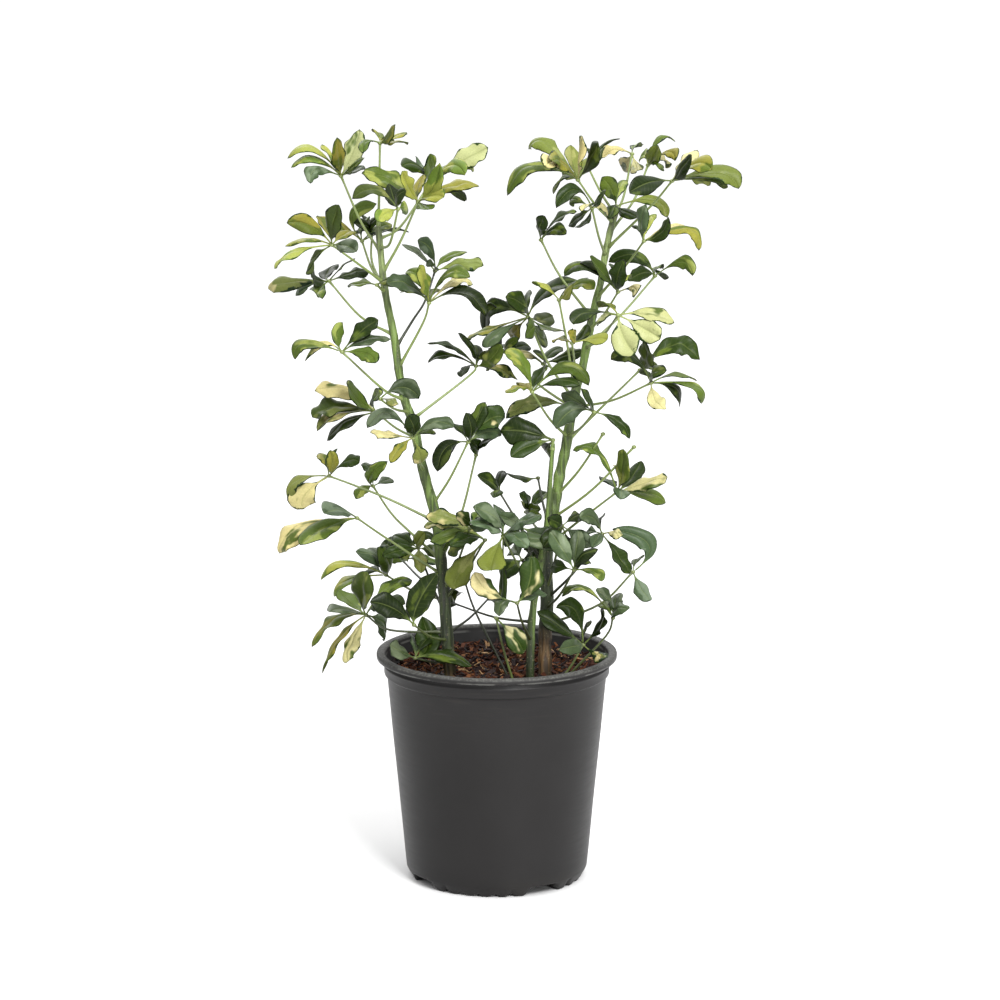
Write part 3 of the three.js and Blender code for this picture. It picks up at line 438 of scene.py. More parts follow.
        (549, 530, "s16"), (580, 530, "s14"), (597, 548, "d9"), (551, 566, "d12"), (590, 560, "d8"),
        (601, 581, "g8", 595, 569)]),
    ("leaf_right_23", (570, 674), -42, [(606, 636)], (613, 618), -60, [
        (560, 596, "g7", 584, 586), (597, 589, "s5"), (618, 593, "s13"), (628, 607, "s7"),
        (601, 602, "g11")]),
    ("leaf_right_24", (560, 681), -60, [], (583, 645), -62, [
        (537, 611, "d16", 558, 620), (592, 622, "d3"), (557, 609, "d14", 576, 607), (560, 650, "s14"),
        (601, 610, "d9", 600, 622), (604, 657, "v13f", 598, 652)]),
    ("leaf_right_25", "middle", 640, [(522, 622)], (517, 603), -125, [
        (531, 555, "m22", 529, 577), (475, 572, "m18", 488, 585), (548, 593, "s10", 530, 592),
        (499, 615, "s6", 503, 600)]),
    ("leaf_right_26", (514, 684), -72, [], (496, 618), -85, [
        (527, 653, "m20")]),
    ("leaf_right_27", (508, 677), -45, [(476, 613)], (464, 579), -20, [
        (491, 596, "o6")]),
    ("stem_left", "left", 229, [(379, 200)], (380, 143), -25, [
        (374, 131, "o7"), (395, 124, "o9", 387, 135), (406, 130, "o4", 394, 136),
        (408, 140, "o4", 394, 141), (392, 144, "o3"), (363, 152, "g8", 366, 139)]),
    ("stem_left", "left", 291, [], (377, 285), -42, [
        (347, 285, "d6", 362, 281), (406, 283, "g9")]),
    ("stem_right", "right", 214, [], (616, 206), 0, [
        (668, 218, "l14f", 654, 196), (638, 216, "d11f", 624, 208), (609, 219, "d12"), (627, 178, "g9"),
        (603, 178, "d15", 612, 186)]),
    ("stem_middle", "middle", 450, [], (553, 440), -70, [
        (500, 430, "d26", 526, 424), (511, 457, "d15", 527, 442), (549, 456, "d9")]),
    ("leaf_right_22", "right", 600, [], (522, 560), 20, [
        (500, 575, "d20"), (512, 547, "d18"), (551, 553, "d18"), (545, 573, "d16")]),
    ("leaf_left_24", "left", 615, [], (418, 548), -20, [
        (392, 534, "d14"), (400, 560, "g12"), (382, 556, "d12"), (425, 532, "l10"), (437, 552, "g12"),
        (421, 573, "l12")]),
    ("leaf_left_25", "left", 590, [], (470, 528), -95, [
        (425, 518, "v13", 446, 514), (430, 541, "g13", 450, 531), (446, 553, "g12", 458, 541),
        (456, 513, "m10"), (481, 512, "g10"), (492, 522, "s12")]),
    ("leaf_middle_02", "middle", 570, [], (520, 527), -75, [
        (500, 514, "s12"), (541, 512, "g12"), (557, 538, "s16", 541, 530), (534, 553, "d14"),
        (505, 547, "d14")]),
    ("leaf_right_22", "right", 590, [], (562, 526), -85, [
        (592, 546, "s14", 578, 532), (574, 562, "d16", 571, 544), (543, 548, "d16"), (548, 518, "d12"),
        (582, 516, "d10")]),
    ("leaf_middle_02", "middle", 520, [], (538, 478), -10, [
        (507, 472, "d7", 522, 476)]),
    ("leaf_left_03", "left", 290, [(372, 262)], (372, 233), 55, [
        (355, 222, "d9"), (362, 216, "d7"), (356, 233, "d6"), (380, 217, "d6")]),
    ("leaf_right_13", "right", 408, [], (505, 352), 28, [
        (478, 358, "g12"), (484, 369, "g10"), (492, 336, "d11"), (518, 338, "g11"), (531, 347, "d10"),
        (520, 362, "d10")]),
    ("leaf_left_24", "left", 633, [], (490, 597), 25, [
        (498, 605, "d9"), (484, 587, "d9")]),
    ("leaf_middle_02", "middle", 622, [(494, 617)], (453, 603), 0, [
        (446, 590, "d9"), (460, 592, "d9"), (444, 606, "d8")]),
    ("leaf_right_19", "right", 496, [], (603, 434), -70, []),
    ("leaf_right_19", "right", 519, [], (634, 447), -75, []),
]
Leaf = namedtuple("Leaf", "node root foot bends hub depth tips")
LEAVES = [Leaf(*row) for row in LEAF_TABLE]


# Shared tools

def chance(seed):
    """A seeded chance between 0 and 1."""
    wave = math.sin(seed * 127.1 + 11.7) * 43758.5453
    return wave - math.floor(wave)


def between(low, high, share):
    return low + (high - low) * share


def smooth(low, high, value):
    share = min(max((value - low) / (high - low), 0), 1)
    return share * share * (3 - 2 * share)


def swelling(distance, reach):
    """A rounded swelling: 1 at no distance and nearly 0 beyond twice its reach."""
    return math.exp(-(distance / reach) ** 2)


def across(vector, along):
    return (vector - along * vector.dot(along)).normalized()


def turns_of(sides):
    """Evenly spaced angles round a circle."""
    return [2 * math.pi * k / sides for k in range(sides)]


def linear(part):
    """A colour's part of 255 as the linear share that shaders take."""
    share = part / 255
    return ((share + 0.055) / 1.055) ** 2.4 if part > 10 else share / 12.92


def colour(red, green, blue):
    """The surface's own colour where the photograph shows this one."""
    shown = [linear(part) for part in (red, green, blue)]
    return (*(max(part - SHINE, 0.2 * part) / LIGHT for part in shown), 1)


def blended(first, second, share):
    """A red, green and blue between two colours."""
    return [between(one, other, share) for one, other in zip(first[:3], second[:3])]


def from_photo(pixel, depth):
    """The point at a given depth that the photograph shows at a pixel."""
    down = LOOK_DOWN - math.atan((CENTRE_PX - pixel[1]) / FOCAL_PX)
    away = depth - EYE.y
    height = EYE.z - away * math.tan(down)
    slant = away * math.cos(LOOK_DOWN) + (EYE.z - height) * math.sin(LOOK_DOWN)
    return Vector((EYE.x + (pixel[0] - CENTRE_PX) * slant / FOCAL_PX, depth, height))


def curve_through(route, steps):
    """Points on a smooth curve through a route, with the same number of steps in each stretch."""
    ends = [route[0] * 2 - route[1], *route, route[-1] * 2 - route[-2]]
    points = []
    for i in range(len(route) - 1):
        before, start, end, after = ends[i:i + 4]
        slope_in = (end - before) / 2
        slope_out = (after - start) / 2
        for k in range(steps):
            t = k / steps
            points.append(
                start * (2 * t ** 3 - 3 * t ** 2 + 1) + slope_in * (t ** 3 - 2 * t ** 2 + t)
                + end * (3 * t ** 2 - 2 * t ** 3) + slope_out * (t ** 3 - t ** 2))
    return points + [route[-1]]


def put_in_scene(name, data):
    made = bpy.data.objects.new(name, data)
    bpy.context.scene.collection.objects.link(made)
    return made


class Skin:
    """The points, faces and painted values of one piece, before it becomes a mesh."""

    VALUES = {"body": "FLOAT_COLOR", "patch": "FLOAT_COLOR", "edge": "FLOAT_COLOR",
              "blade": "FLOAT_VECTOR", "spot": "FLOAT_VECTOR", "rim": "FLOAT"}
    BLANK = {"body": (1, 1, 1, 0), "patch": (1, 1, 1, 0), "edge": (1, 1, 1, 0),
             "blade": (0, 0, 0), "spot": (0, 0, 0), "rim": 0}
    KEYS = {"FLOAT_COLOR": "color", "FLOAT_VECTOR": "vector", "FLOAT": "value"}

    def __init__(self, values):
        self.points = []
        self.faces = []
        self.slots = []
        self.painted = {name: [] for name in values}

    def add(self, point, **paint):
        self.points.append(point)
        for name, column in self.painted.items():
            column.append(paint.get(name, self.BLANK[name]))
        return len(self.points) - 1

    def loft(self, rings, slot=0, paints=None):
        """Joins rings of points that run anticlockwise as seen from ahead; a lone point closes an end."""
        rows = []
        for i, ring in enumerate(rings):
            paint = paints[i] if paints else [{}] * len(ring)
            rows.append([self.add(point, **values) for point, values in zip(ring, paint)])
        for near, far in zip(rows, rows[1:]):
            sides = max(len(near), len(far))
            for k in range(sides):
                following = (k + 1) % sides
                if len(near) == 1:
                    face = (near[0], far[following], far[k])
                elif len(far) == 1:
                    face = (far[0], near[k], near[following])
                else:
                    face = (near[k], near[following], far[following], far[k])
                self.faces.append(face)
                self.slots.append(slot)

    def piece(self, name, materials, node, slot, rounded=True):
        """Makes the mesh in metres, in the frame, and lets it ride in place of its CAD node."""
        mesh = bpy.data.meshes.new(name)
        mesh.from_pydata([point * MM + POT_AXIS for point in self.points], [], self.faces)
        mesh.polygons.foreach_set("material_index", self.slots)
        mesh.polygons.foreach_set("use_smooth", [rounded] * len(self.faces))
        for value, column in self.painted.items():
            kind = self.VALUES[value]
            layer = mesh.attributes.new(value, kind, "POINT")
            flat = column if kind == "FLOAT" else [part for entry in column for part in entry]
            layer.data.foreach_set(self.KEYS[kind], flat)
        for material in materials:
            mesh.materials.append(material)
        mesh.update()
        made = put_in_scene(name, mesh)
        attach(made, "root")
        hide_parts(node)


def tube(skin, points, radii, sides, slot, paints):
    """A round tube through points, closed at both ends."""
    chord = points[-1] - points[0]
    axes = [Vector((1, 0, 0)), Vector((0, 1, 0)), Vector((0, 0, 1))]
    reference = min(axes, key=lambda axis: abs(axis.dot(chord)))
    rings = [[points[0]]]
    for i, point in enumerate(points):
        along = (points[min(i + 1, len(points) - 1)] - points[max(i - 1, 0)]).normalized()
        side = across(reference, along)
        up = along.cross(side)
        rings.append([
            point + side * radii[i] * math.cos(turn) + up * radii[i] * math.sin(turn)
            for turn in turns_of(sides)])
    rings.append([points[-1]])
    columns = [paints[0], *paints, paints[-1]]
    skin.loft(rings, slot, [[values] * len(ring) for values, ring in zip(columns, rings)])


# Materials

class Wire:
    """A value that runs between a finish's nodes. A formula with it adds the nodes that reckon it."""

    def __init__(self, finish, socket):
        self.finish = finish
        self.socket = socket

    def __add__(self, other):
        return self.finish.reckon("ADD", self, other)

    def __sub__(self, other):
        return self.finish.reckon("SUBTRACT", self, other)

    def __rsub__(self, other):
        return self.finish.reckon("SUBTRACT", other, self)

    def __mul__(self, other):
        return self.finish.reckon("MULTIPLY", self, other)

    def __pow__(self, other):
        return self.finish.reckon("POWER", self, other)

    def __abs__(self):
        return self.finish.reckon("ABSOLUTE", self)

    __radd__ = __add__


class Finish:
    """The nodes of one material, or of the world, with short ways to add and join them."""

    def __init__(self, owner, shader="Principled BSDF"):
        self.owner = owner
        owner.use_nodes = True
        self.tree = owner.node_tree
        self.shader = self.tree.nodes[shader]

    def node(self, kind, inputs=(), **settings):
        made = self.tree.nodes.new(kind)
        for key, value in settings.items():
            setattr(made, key, value)
        for key, value in dict(inputs).items():
            self.set(made.inputs[key], value)
        return made

    def set(self, socket, value):
        if isinstance(value, Wire):
            self.tree.links.new(value.socket, socket)
        else:
            socket.default_value = value

    def shade(self, **inputs):
        for key, value in inputs.items():
            self.set(self.shader.inputs[key.replace("_", " ")], value)

    def wire(self, kind, output, inputs=(), **settings):
        return Wire(self, self.node(kind, inputs, **settings).outputs[output])

    def reckon(self, operation, *values):
        return self.wire("ShaderNodeMath", 0, enumerate(values), operation=operation)

    def step(self, low, high, value):
        """0 below low and 1 above high, smooth between them."""
        inputs = {"Value": value, "From Min": low, "From Max": high}
        return self.wire("ShaderNodeMapRange", "Result", inputs, interpolation_type="SMOOTHSTEP")

    def mix(self, share, first, second, blend="MIX"):
        inputs = {"Factor": share, "A": first, "B": second}
        return self.wire("ShaderNodeMix", "Result", inputs, data_type="RGBA", blend_type=blend)

    def darkened(self, shade, factor):
        return self.mix(1.0, shade, factor, "MULTIPLY")

    def place(self):
        return self.wire("ShaderNodeTexCoord", "Object")

    def noise(self, place, scale, detail, stretch=None):
        if stretch:
            place = self.wire("ShaderNodeMapping", "Vector", {"Vector": place, "Scale": stretch})
        return self.wire("ShaderNodeTexNoise", "Fac", {"Vector": place, "Scale": scale, "Detail": detail})

    def painted(self, name, output):
        """One of the values that are painted on a piece's points."""
        return self.wire("ShaderNodeAttribute", output, attribute_name=name)

    def apart(self, vector):
        made = self.node("ShaderNodeSeparateXYZ", {"Vector": vector})
        return [Wire(self, output) for output in made.outputs]

    def bump(self, height, strength, distance):
        inputs = {"Height": height, "Strength": strength, "Distance": distance}
        self.shade(Normal=self.wire("ShaderNodeBump", "Normal", inputs))


def new_finish(name):
    return Finish(bpy.data.materials.new(name))


def leaf_finish():
    """Leaf blades: coloured middle, patches and darker edge, light veins, an underside that is paler but
    darkened as painted shade, waxy shine.
    """
    finish = new_finish("leaf_blade")
    across_blade, along_blade, underside = finish.apart(finish.painted("blade", "Vector"))
    place = finish.painted("spot", "Vector")
    off_middle = abs(across_blade)

    blotches = finish.noise(place, 1.5, 2.0, (1.0, 0.45, 1.0))
    threshold = 0.78 - finish.painted("body", "Alpha") * 0.6
    patched = finish.step(threshold, threshold + PATCH_SOFTNESS, blotches)
    middle = finish.mix(patched, finish.painted("body", "Color"), finish.painted("patch", "Color"))

    bites = finish.noise(place, 2.6, 3.0) ** 3.0 * EDGE_RAGGEDNESS
    edge_width = finish.painted("patch", "Alpha") * bites
    inside = finish.step(edge_width * 0.7, edge_width, finish.painted("rim", "Fac"))
    edged = finish.mix(inside, finish.painted("edge", "Color"), middle)

    ladder = finish.reckon("FRACT", (along_blade - off_middle * VEIN_SLANT) * SIDE_VEINS)
    side_vein = finish.step(0.1, 0.0, abs(ladder - 0.5))
    midrib = finish.step(0.09, 0.02, off_middle)
    vein = finish.reckon("MAXIMUM", side_vein * 0.2, midrib * 0.7)
    veined = finish.mix(vein * 0.4, edged, colour(*VEIN_SHADE))

    mottle = finish.noise(place, 14.0, 4.0)
    mottled = finish.darkened(veined, 0.7 + mottle * 0.6)
    # The underside: paler and duller than the top, toned down as painted shade.
    pale = finish.mix(0.3, mottled, colour(*UNDERSIDE_PALER_AND_SHADED))
    finish.shade(Base_Color=finish.mix(underside, mottled, pale), Specular_IOR_Level=0.12)
    finish.shade(Roughness=0.28 + mottle * 0.2 + underside * 0.2)
    finish.bump(mottle * 0.35 - vein, 0.5, 0.0005)
    return finish.owner


def stalk_finish():
    """Leaf stalks: green, or painted darker as shade low in the plant, with fine lengthwise streaks."""
    finish = new_finish("leaf_stalk")
    streaks = finish.noise(finish.place(), 420.0, 3.0, (1.0, 1.0, 0.15))
    finish.shade(Base_Color=finish.darkened(finish.painted("body", "Color"), 0.8 + streaks * 0.4))
    finish.shade(Roughness=0.34 + streaks * 0.25)
    finish.bump(streaks, 0.3, 0.0004)
    return finish.owner


def stem_finish():
    """Stems: brown bark near the soil that turns green upwards, past a band of painted shade to a paler top
    with a painted highlight; streaks with painted shade in the grooves, pale pores and dark leaf scars.
    """
    finish = new_finish("stem_bark")
    place = finish.place()
    _, _, height = finish.apart(place)
    uneven = finish.noise(place, 26.0, 4.0)
    level = height + (uneven - 0.5) * 0.14 + finish.painted("body", "Alpha")
    # The dark olive band is painted shade below the leaves, and the pale top is partly a painted highlight.
    bark = colour(*BARK_BROWN)
    for shade, low, high in BARK_AND_PAINTED_LIGHT_ABOVE:
        bark = finish.mix(finish.step(low, high, level), bark, colour(*shade))
    # Lengthwise streaks: partly the bark's own streaks, partly painted shade in the grooves and highlight
    # on the ridges.
    grooved = finish.step(0.38, 0.6, finish.noise(place, 240.0, 4.0, (1.0, 1.0, 0.08)))
    groove_shaded = finish.darkened(bark, 0.44 + grooved * 0.9)
    pores = finish.wire("ShaderNodeTexVoronoi", "Distance", {"Vector": place, "Scale": 260.0})
    speck = finish.step(0.24, 0.12, pores) * 0.4
    specked = finish.mix(speck, groove_shaded, colour(*PORE_SHADE))
    scarred = finish.painted("rim", "Fac") * finish.step(0.5, 0.7, finish.noise(place, 70.0, 2.0))
    finish.shade(Base_Color=finish.mix(scarred * 0.8, specked, colour(*SCAR_SHADE)))
    finish.shade(Roughness=0.45 + uneven * 0.3)
    finish.bump(grooved + speck, 0.7, 0.0012)
    return finish.owner


def pot_finish():
    """Black moulded plastic, faintly wavy, with a patchy paler grey rim top, a painted highlight along the
    rim's lower edge and soil dust below the rim.
    """
    finish = new_finish("pot_plastic")
    place = finish.place()
    _, _, metres_up = finish.apart(place)
    height = metres_up * (1 / MM)
    cloud = finish.noise(place, 9.0, 3.0)
    scratches = finish.noise(place, 120.0, 5.0, (0.25, 0.25, 3.0))
    scuffs = finish.step(0.42, 0.62, finish.noise(place, 420.0, 5.0))
    on_top = finish.step(*PALE_TOP_HEIGHTS, height)

    shade = finish.mix(cloud, colour(*POT_DEEP), colour(*POT_PALE))
    high_dust = finish.step(*DUST_BELOW_RIM, height) * finish.step(0.52, 0.72, scratches)
    low_dust = finish.step(*DUST_AT_FOOT, height) * finish.step(0.45, 0.7, cloud)
    for dust in (high_dust, low_dust):
        shade = finish.mix(dust * DUSTINESS, shade, colour(*POT_DUST))
    # A painted highlight along the rim's lower edge, broken by noise.
    lower_edge = finish.step(*LOWER_HIGHLIGHT_STARTS, height) * finish.step(*LOWER_HIGHLIGHT_ENDS, height)
    ragged_highlight = lower_edge * finish.step(0.4, 0.55, finish.noise(place, 60.0, 5.0))
    # One grey for the rim's patchy paler top and for the painted highlight below it.
    pale_top_and_highlight = finish.reckon("MAXIMUM", on_top * (0.35 + scuffs * 0.5), ragged_highlight)
    finish.shade(Base_Color=finish.mix(pale_top_and_highlight, shade, colour(*RIM_GREY_AND_HIGHLIGHT)), Specular_IOR_Level=0.2)
    finish.shade(Roughness=0.36 + scratches * 0.14 + on_top * 0.2)
    relief = finish.noise(place, 900.0, 2.0) * 0.3 + cloud * 2.0 + scuffs * on_top * 0.8
    finish.bump(relief, 0.35, 0.0006)
    return finish.owner


def mix_finish():
    """Bark and coir: red-brown chips from nearly black to tan, dull and fibrous."""
    finish = new_finish("bark_mix")
    ramp = finish.wire("ShaderNodeValToRGB", "Color", {"Fac": finish.painted("rim", "Fac")})
    elements = ramp.socket.node.color_ramp.elements
    for at, _ in MIX_STOPS[1:-1]:
        elements.new(at)
    for element, (_, shade) in zip(elements, MIX_STOPS):
        element.color = colour(*shade)
    fibres = finish.noise(finish.place(), 500.0, 5.0, (1.0, 0.3, 1.0))
    finish.shade(Base_Color=finish.darkened(ramp, 0.55 + fibres * 0.9), Roughness=0.7 + fibres * 0.25)
    finish.shade(Specular_IOR_Level=0.2)
    finish.bump(fibres, 0.7, 0.001)
    return finish.owner


# Pot and mix

def lathe(skin, profile, sides, shape):
    """Turns a profile of radius and height round the pot's axis; shape places each point."""
    rings = []
    for radius, height in profile:
        ring = [shape(radius, height, turn) for turn in turns_of(sides)]
        rings.append(ring if radius else [Vector((0, 0, height))])
    skin.loft(rings)


def off_nearest(degrees, every):
    """How far an angle is from the nearest of the evenly spaced ones that start at the first notch."""
    return abs((degrees - FIRST_NOTCH_DEG + every / 2) % every - every / 2)


def foot_lift(degrees):
    """How high the foot's lower edge is cut away at an angle: drain notches and small scallops."""
    off_notch = off_nearest(degrees, 360 / DRAIN_NOTCHES)
    notch = (DRAIN_NOTCH_HALF_DEG + DRAIN_NOTCH_SLOPE_DEG - off_notch) / DRAIN_NOTCH_SLOPE_DEG
    off_scallop = off_nearest(degrees, SCALLOP_EVERY_DEG)
    scallop = SCALLOP_HEIGHT * (1 - smooth(SCALLOP_HALF_DEG / 2, SCALLOP_HALF_DEG, off_scallop))
    return max(DRAIN_NOTCH_HEIGHT * min(max(notch, 0), 1), scallop)


def keyhole_depth(degrees, height):
    """How far the small arched recess beside each notch sinks into the foot."""
    off_keyhole = abs(off_nearest(degrees, 360 / DRAIN_NOTCHES) - KEYHOLE_FROM_NOTCH_DEG)
    return 0 if off_keyhole > KEYHOLE_HALF_DEG or height > KEYHOLE_HEIGHT else KEYHOLE_DEPTH


def pot_point(radius, height, turn):
    """A point of the pot, with its cut foot, its slightly uneven wall and its ragged rim."""
    if height < DRAIN_NOTCH_HEIGHT + 1 and radius > FOOT_RADIUS - FOOT_RING_WIDTH - 1:
        degrees = math.degrees(turn)
        height = max(height, foot_lift(degrees))
        radius -= keyhole_depth(degrees, height) if radius > FOOT_RADIUS - 1 else 0
    if COLLAR_RADIUS - 1 < radius and RIM_UNDERSIDE - 0.5 < height < POT_HEIGHT - 1.5:
        ragged = noise.noise(Vector((40 * math.cos(turn), 40 * math.sin(turn), height)))
        height += RIM_RAGGED * ragged
        radius -= WALL_WOBBLE * abs(ragged)
    wobble = WALL_WOBBLE * noise.noise(Vector((2 * math.cos(turn), 2 * math.sin(turn), height / 60)))
    radius += wobble if FOOT_RADIUS < radius < RIM_INNER_RADIUS else 0
    return Vector((radius * math.cos(turn), radius * math.sin(turn), height))


def make_pot(material):
    """The pot: turned from rows of points, each row given by its offsets from a radius and a height."""
    ring_inner = FOOT_RADIUS - FOOT_RING_WIDTH
    taper = BODY_TOP_RADIUS - BODY_FOOT_RADIUS
    rise = COLLAR_BOTTOM - 1 - CORNER_HEIGHT
    shares = [row / BODY_ROWS for row in range(BODY_ROWS + 1)]
    rows = [
        (0, FLOOR_UNDERSIDE, [(0, 0), (ring_inner, 0)]),
        (ring_inner, 0, [(0, 0.6), (0.6, 0)]),
        (FOOT_RADIUS, 0, [(-0.8, 0), (0, 0.6), (0.8, 2.4), (2.4, 5), (4.2, 8), (5.4, 10.4)]),
        (BODY_FOOT_RADIUS, CORNER_HEIGHT, [(taper * share, rise * share) for share in shares]),
        (BODY_TOP_RADIUS, COLLAR_BOTTOM, [(0.3, 0)]),
        (COLLAR_RADIUS, COLLAR_BOTTOM, [(-1.4, 0.7), (-0.3, 1.4), (0, 2.6)]),
        (COLLAR_RADIUS, BEAD_HEIGHT, [(0, -1.6), (0.8, -0.9), (1.1, 0), (0.8, 0.9), (0, 1.6)]),
        (COLLAR_RADIUS, RIM_UNDERSIDE, [(0, -1), (0.6, -0.2)]),
        (RIM_RADIUS, RIM_UNDERSIDE, [(-1.2, 0), (-0.3, 0.4), (0, 1.4)]),
        (RIM_RADIUS, POT_HEIGHT, [(0, -2), (-0.5, -0.7), (-1.8, 0)]),
        (RIM_INNER_RADIUS, POT_HEIGHT, [(3, -0.2), (1, -0.9), (0, -3)]),
        (COLLAR_RADIUS - WALL, COLLAR_BOTTOM, [(0, 3)]),
        (BODY_TOP_RADIUS - WALL, COLLAR_BOTTOM, [(0, -1)]),
        (BODY_FOOT_RADIUS - WALL, CORNER_HEIGHT, [(0, 0)]),
        (BODY_FOOT_RADIUS - WALL, FLOOR_TOP, [(-3, 0)]),
        (0, FLOOR_TOP, [(0, 0)]),
    ]
    skin = Skin([])
    profile = [(radius + out, height + up) for radius, height, offsets in rows for out, up in offsets]
    lathe(skin, profile, POT_SIDES, pot_point)
    skin.piece("nursery_pot_fine", [material], "nursery_pot", "pot_plastic")


def soil_height(x, y):
    """The height of the mix's uneven top at a place."""
    broad = noise.noise(Vector((x / 30, y / 30, 3)))
    fine = noise.noise(Vector((x / 7, y / 7, 9)))
    return SOIL_TOP + SOIL_RELIEF * (broad + 0.6 * fine)


def soil_point(radius, height, turn):
    x, y = radius * math.cos(turn), radius * math.sin(turn)
    return Vector((x, y, soil_height(x, y) if height == SOIL_TOP else height))


def chip_rings(draw, centre, length, width, thickness):
    """The corners of one bark chip or fibre at its two ends: a long flat wedge with a broken outline."""
    half_wide = draw.uniform(*width) / 2
    half_thick = draw.uniform(*thickness) / 2
    turned = Matrix.Rotation(draw.uniform(0, 2 * math.pi), 3, "Z")
    turned = turned @ Matrix.Rotation(draw.gauss(0, 0.35), 3, "Y")
    turned = turned @ Matrix.Rotation(draw.gauss(0, 0.5), 3, "X")
    rings = []
    for end in (-1, 1):
        narrow = draw.uniform(0.35, 1)
        ring = []
        for side, top in [(-1, -1), (1, -1), (1, 1), (-1, 1)]:
            jitter = Vector((draw.uniform(-0.9, 0.9), draw.uniform(-0.4, 0.4), draw.uniform(-0.25, 0.25)))
            corner = Vector((end * length / 2, side * narrow * half_wide, top * half_thick))
            ring.append(centre + turned @ (corner + jitter * half_thick))
        rings.append(ring)
    return rings


def add_chips(skin, stem_places):
    """Chips and fibres that lie on the mix, except where a stem stands."""
    draw = random.Random(7)
    for _ in range(CHIPS):
        fibre = draw.random() < FIBRE_SHARE
        length = draw.uniform(*(FIBRE_LENGTH if fibre else CHIP_LENGTH))
        radius = (SOIL_RADIUS - CHIP_CLEARANCE - length / 2) * math.sqrt(draw.random())
        turn = draw.uniform(0, 2 * math.pi)
        x, y = radius * math.cos(turn), radius * math.sin(turn)
        centre = Vector((x, y, soil_height(x, y) + draw.uniform(*CHIP_ABOVE_SOIL)))
        width, thickness = (FIBRE_WIDTH, FIBRE_WIDTH) if fibre else (CHIP_WIDTH, CHIP_THICKNESS)
        rings = chip_rings(draw, centre, length, width, thickness)
        if any(math.hypot(x - stem.x, y - stem.y) < room for stem, room in stem_places):
            continue
        tone = draw.gauss(FIBRE_TONE if fibre else CHIP_TONE, TONE_SPREAD)
        rings = [[sum(rings[0], Vector()) / 4], *rings, [sum(rings[1], Vector()) / 4]]
        paint = {"rim": min(max(tone, 0.02), 0.98)}
        skin.loft(rings, 0, [[paint] * len(ring) for ring in rings])


def make_mix(material):
    """The mix: one closed body to the pot's floor, with loose chips sunk into its top."""
    skin = Skin(["rim"])
    bottom = FLOOR_TOP + SOIL_GAP
    foot_inside = BODY_FOOT_RADIUS - WALL
    profile = [
        (0, bottom), (foot_inside - 4, bottom), (foot_inside - SOIL_GAP, CORNER_HEIGHT + 1),
        (BODY_TOP_RADIUS - WALL - SOIL_GAP, COLLAR_BOTTOM - 1),
        *[(SOIL_RADIUS * row / SOIL_ROWS, SOIL_TOP) for row in range(SOIL_ROWS, -1, -1)],
    ]
    lathe(skin, profile, SOIL_SIDES, soil_point)
    skin.painted["rim"] = [0.12 + 0.1 * chance(i) for i in range(len(skin.points))]
    add_chips(skin, [(stem_route(stem)[1], stem["radius"][0] + STEM_CLEARANCE) for stem in STEMS.values()])
    skin.piece("potting_mix_fine", [material], "potting_mix", "bark_mix", rounded=False)


# Stems

def stem_route(stem):
    last = len(stem["line"]) - 1
    seen = [from_photo(pixel, between(*stem["depth"], i / last)) for i, pixel in enumerate(stem["line"])]
    return [seen[0] - Vector((0, 0, STEM_IN_SOIL)), *seen]


def stem_point_at(stem, row):
    """The point on a stem's axis at a pixel row."""
    line = stem["line"]
    points = stem_route(stem)[1:]
    following = next(i for i, pixel in enumerate(line) if pixel[1] <= row)
    share = (line[following - 1][1] - row) / (line[following - 1][1] - line[following][1])
    return points[following - 1].lerp(points[following], share)


def stem_scars(name):
    """Heights where leaves grow or once grew: the ones in the table, and older ones near the soil."""
    stem = STEMS[name]
    scars = [stem_point_at(stem, leaf.foot).z for leaf in LEAVES if leaf.root == name]
    bare_top = between(SOIL_TOP, stem_route(stem)[-1].z, 0.55)
    height = SOIL_TOP + 16
    while height < bare_top:
        scars.append(height)
        height += between(*SCAR_GAP, chance(height))
    return scars


def add_stem(skin, name):
    """A stem that tapers, swells a little at each leaf scar and is slightly uneven between them."""
    stem = STEMS[name]
    points = curve_through(stem_route(stem), STEM_STEPS)
    scars = stem_scars(name)
    radii = []
    paints = []
    for i, point in enumerate(points):
        share = max(i / STEM_STEPS - 1, 0) / (len(points) / STEM_STEPS - 2)
        near = min(abs(point.z - height) for height in scars)
        swell = 0.94 + 0.1 * swelling(near, 5) + 0.08 * noise.noise(point / 9)
        radii.append(between(*stem["radius"], min(share, 1)) * swell)
        paints.append({"rim": swelling(near, 1.3), "body": (1, 1, 1, stem["young"])})
    tube(skin, points, radii, STEM_SIDES, 2, paints)


# Leaves

def stalk_route(leaf, hub):
    """A stalk's points from its stem, or from inside the mix, to its hub."""
    on_stem = isinstance(leaf.root, str)
    start = stem_point_at(STEMS[leaf.root], leaf.foot) if on_stem else from_photo(leaf.root, leaf.foot)
    route = [start]
    for i, pixel in enumerate(leaf.bends):
        share = (i + 1) / (len(leaf.bends) + 1)
        route.append(from_photo(pixel, between(start.y, hub.y, share)))
    if not leaf.bends:
        route.append((start + hub) / 2 - Vector((0, 0, STALK_SAG * (hub - start).length)))
    points = curve_through([*route, hub], STALK_STEPS)
    return points if on_stem else [start - Vector((0, 0, STALK_IN_SOIL)), *points]


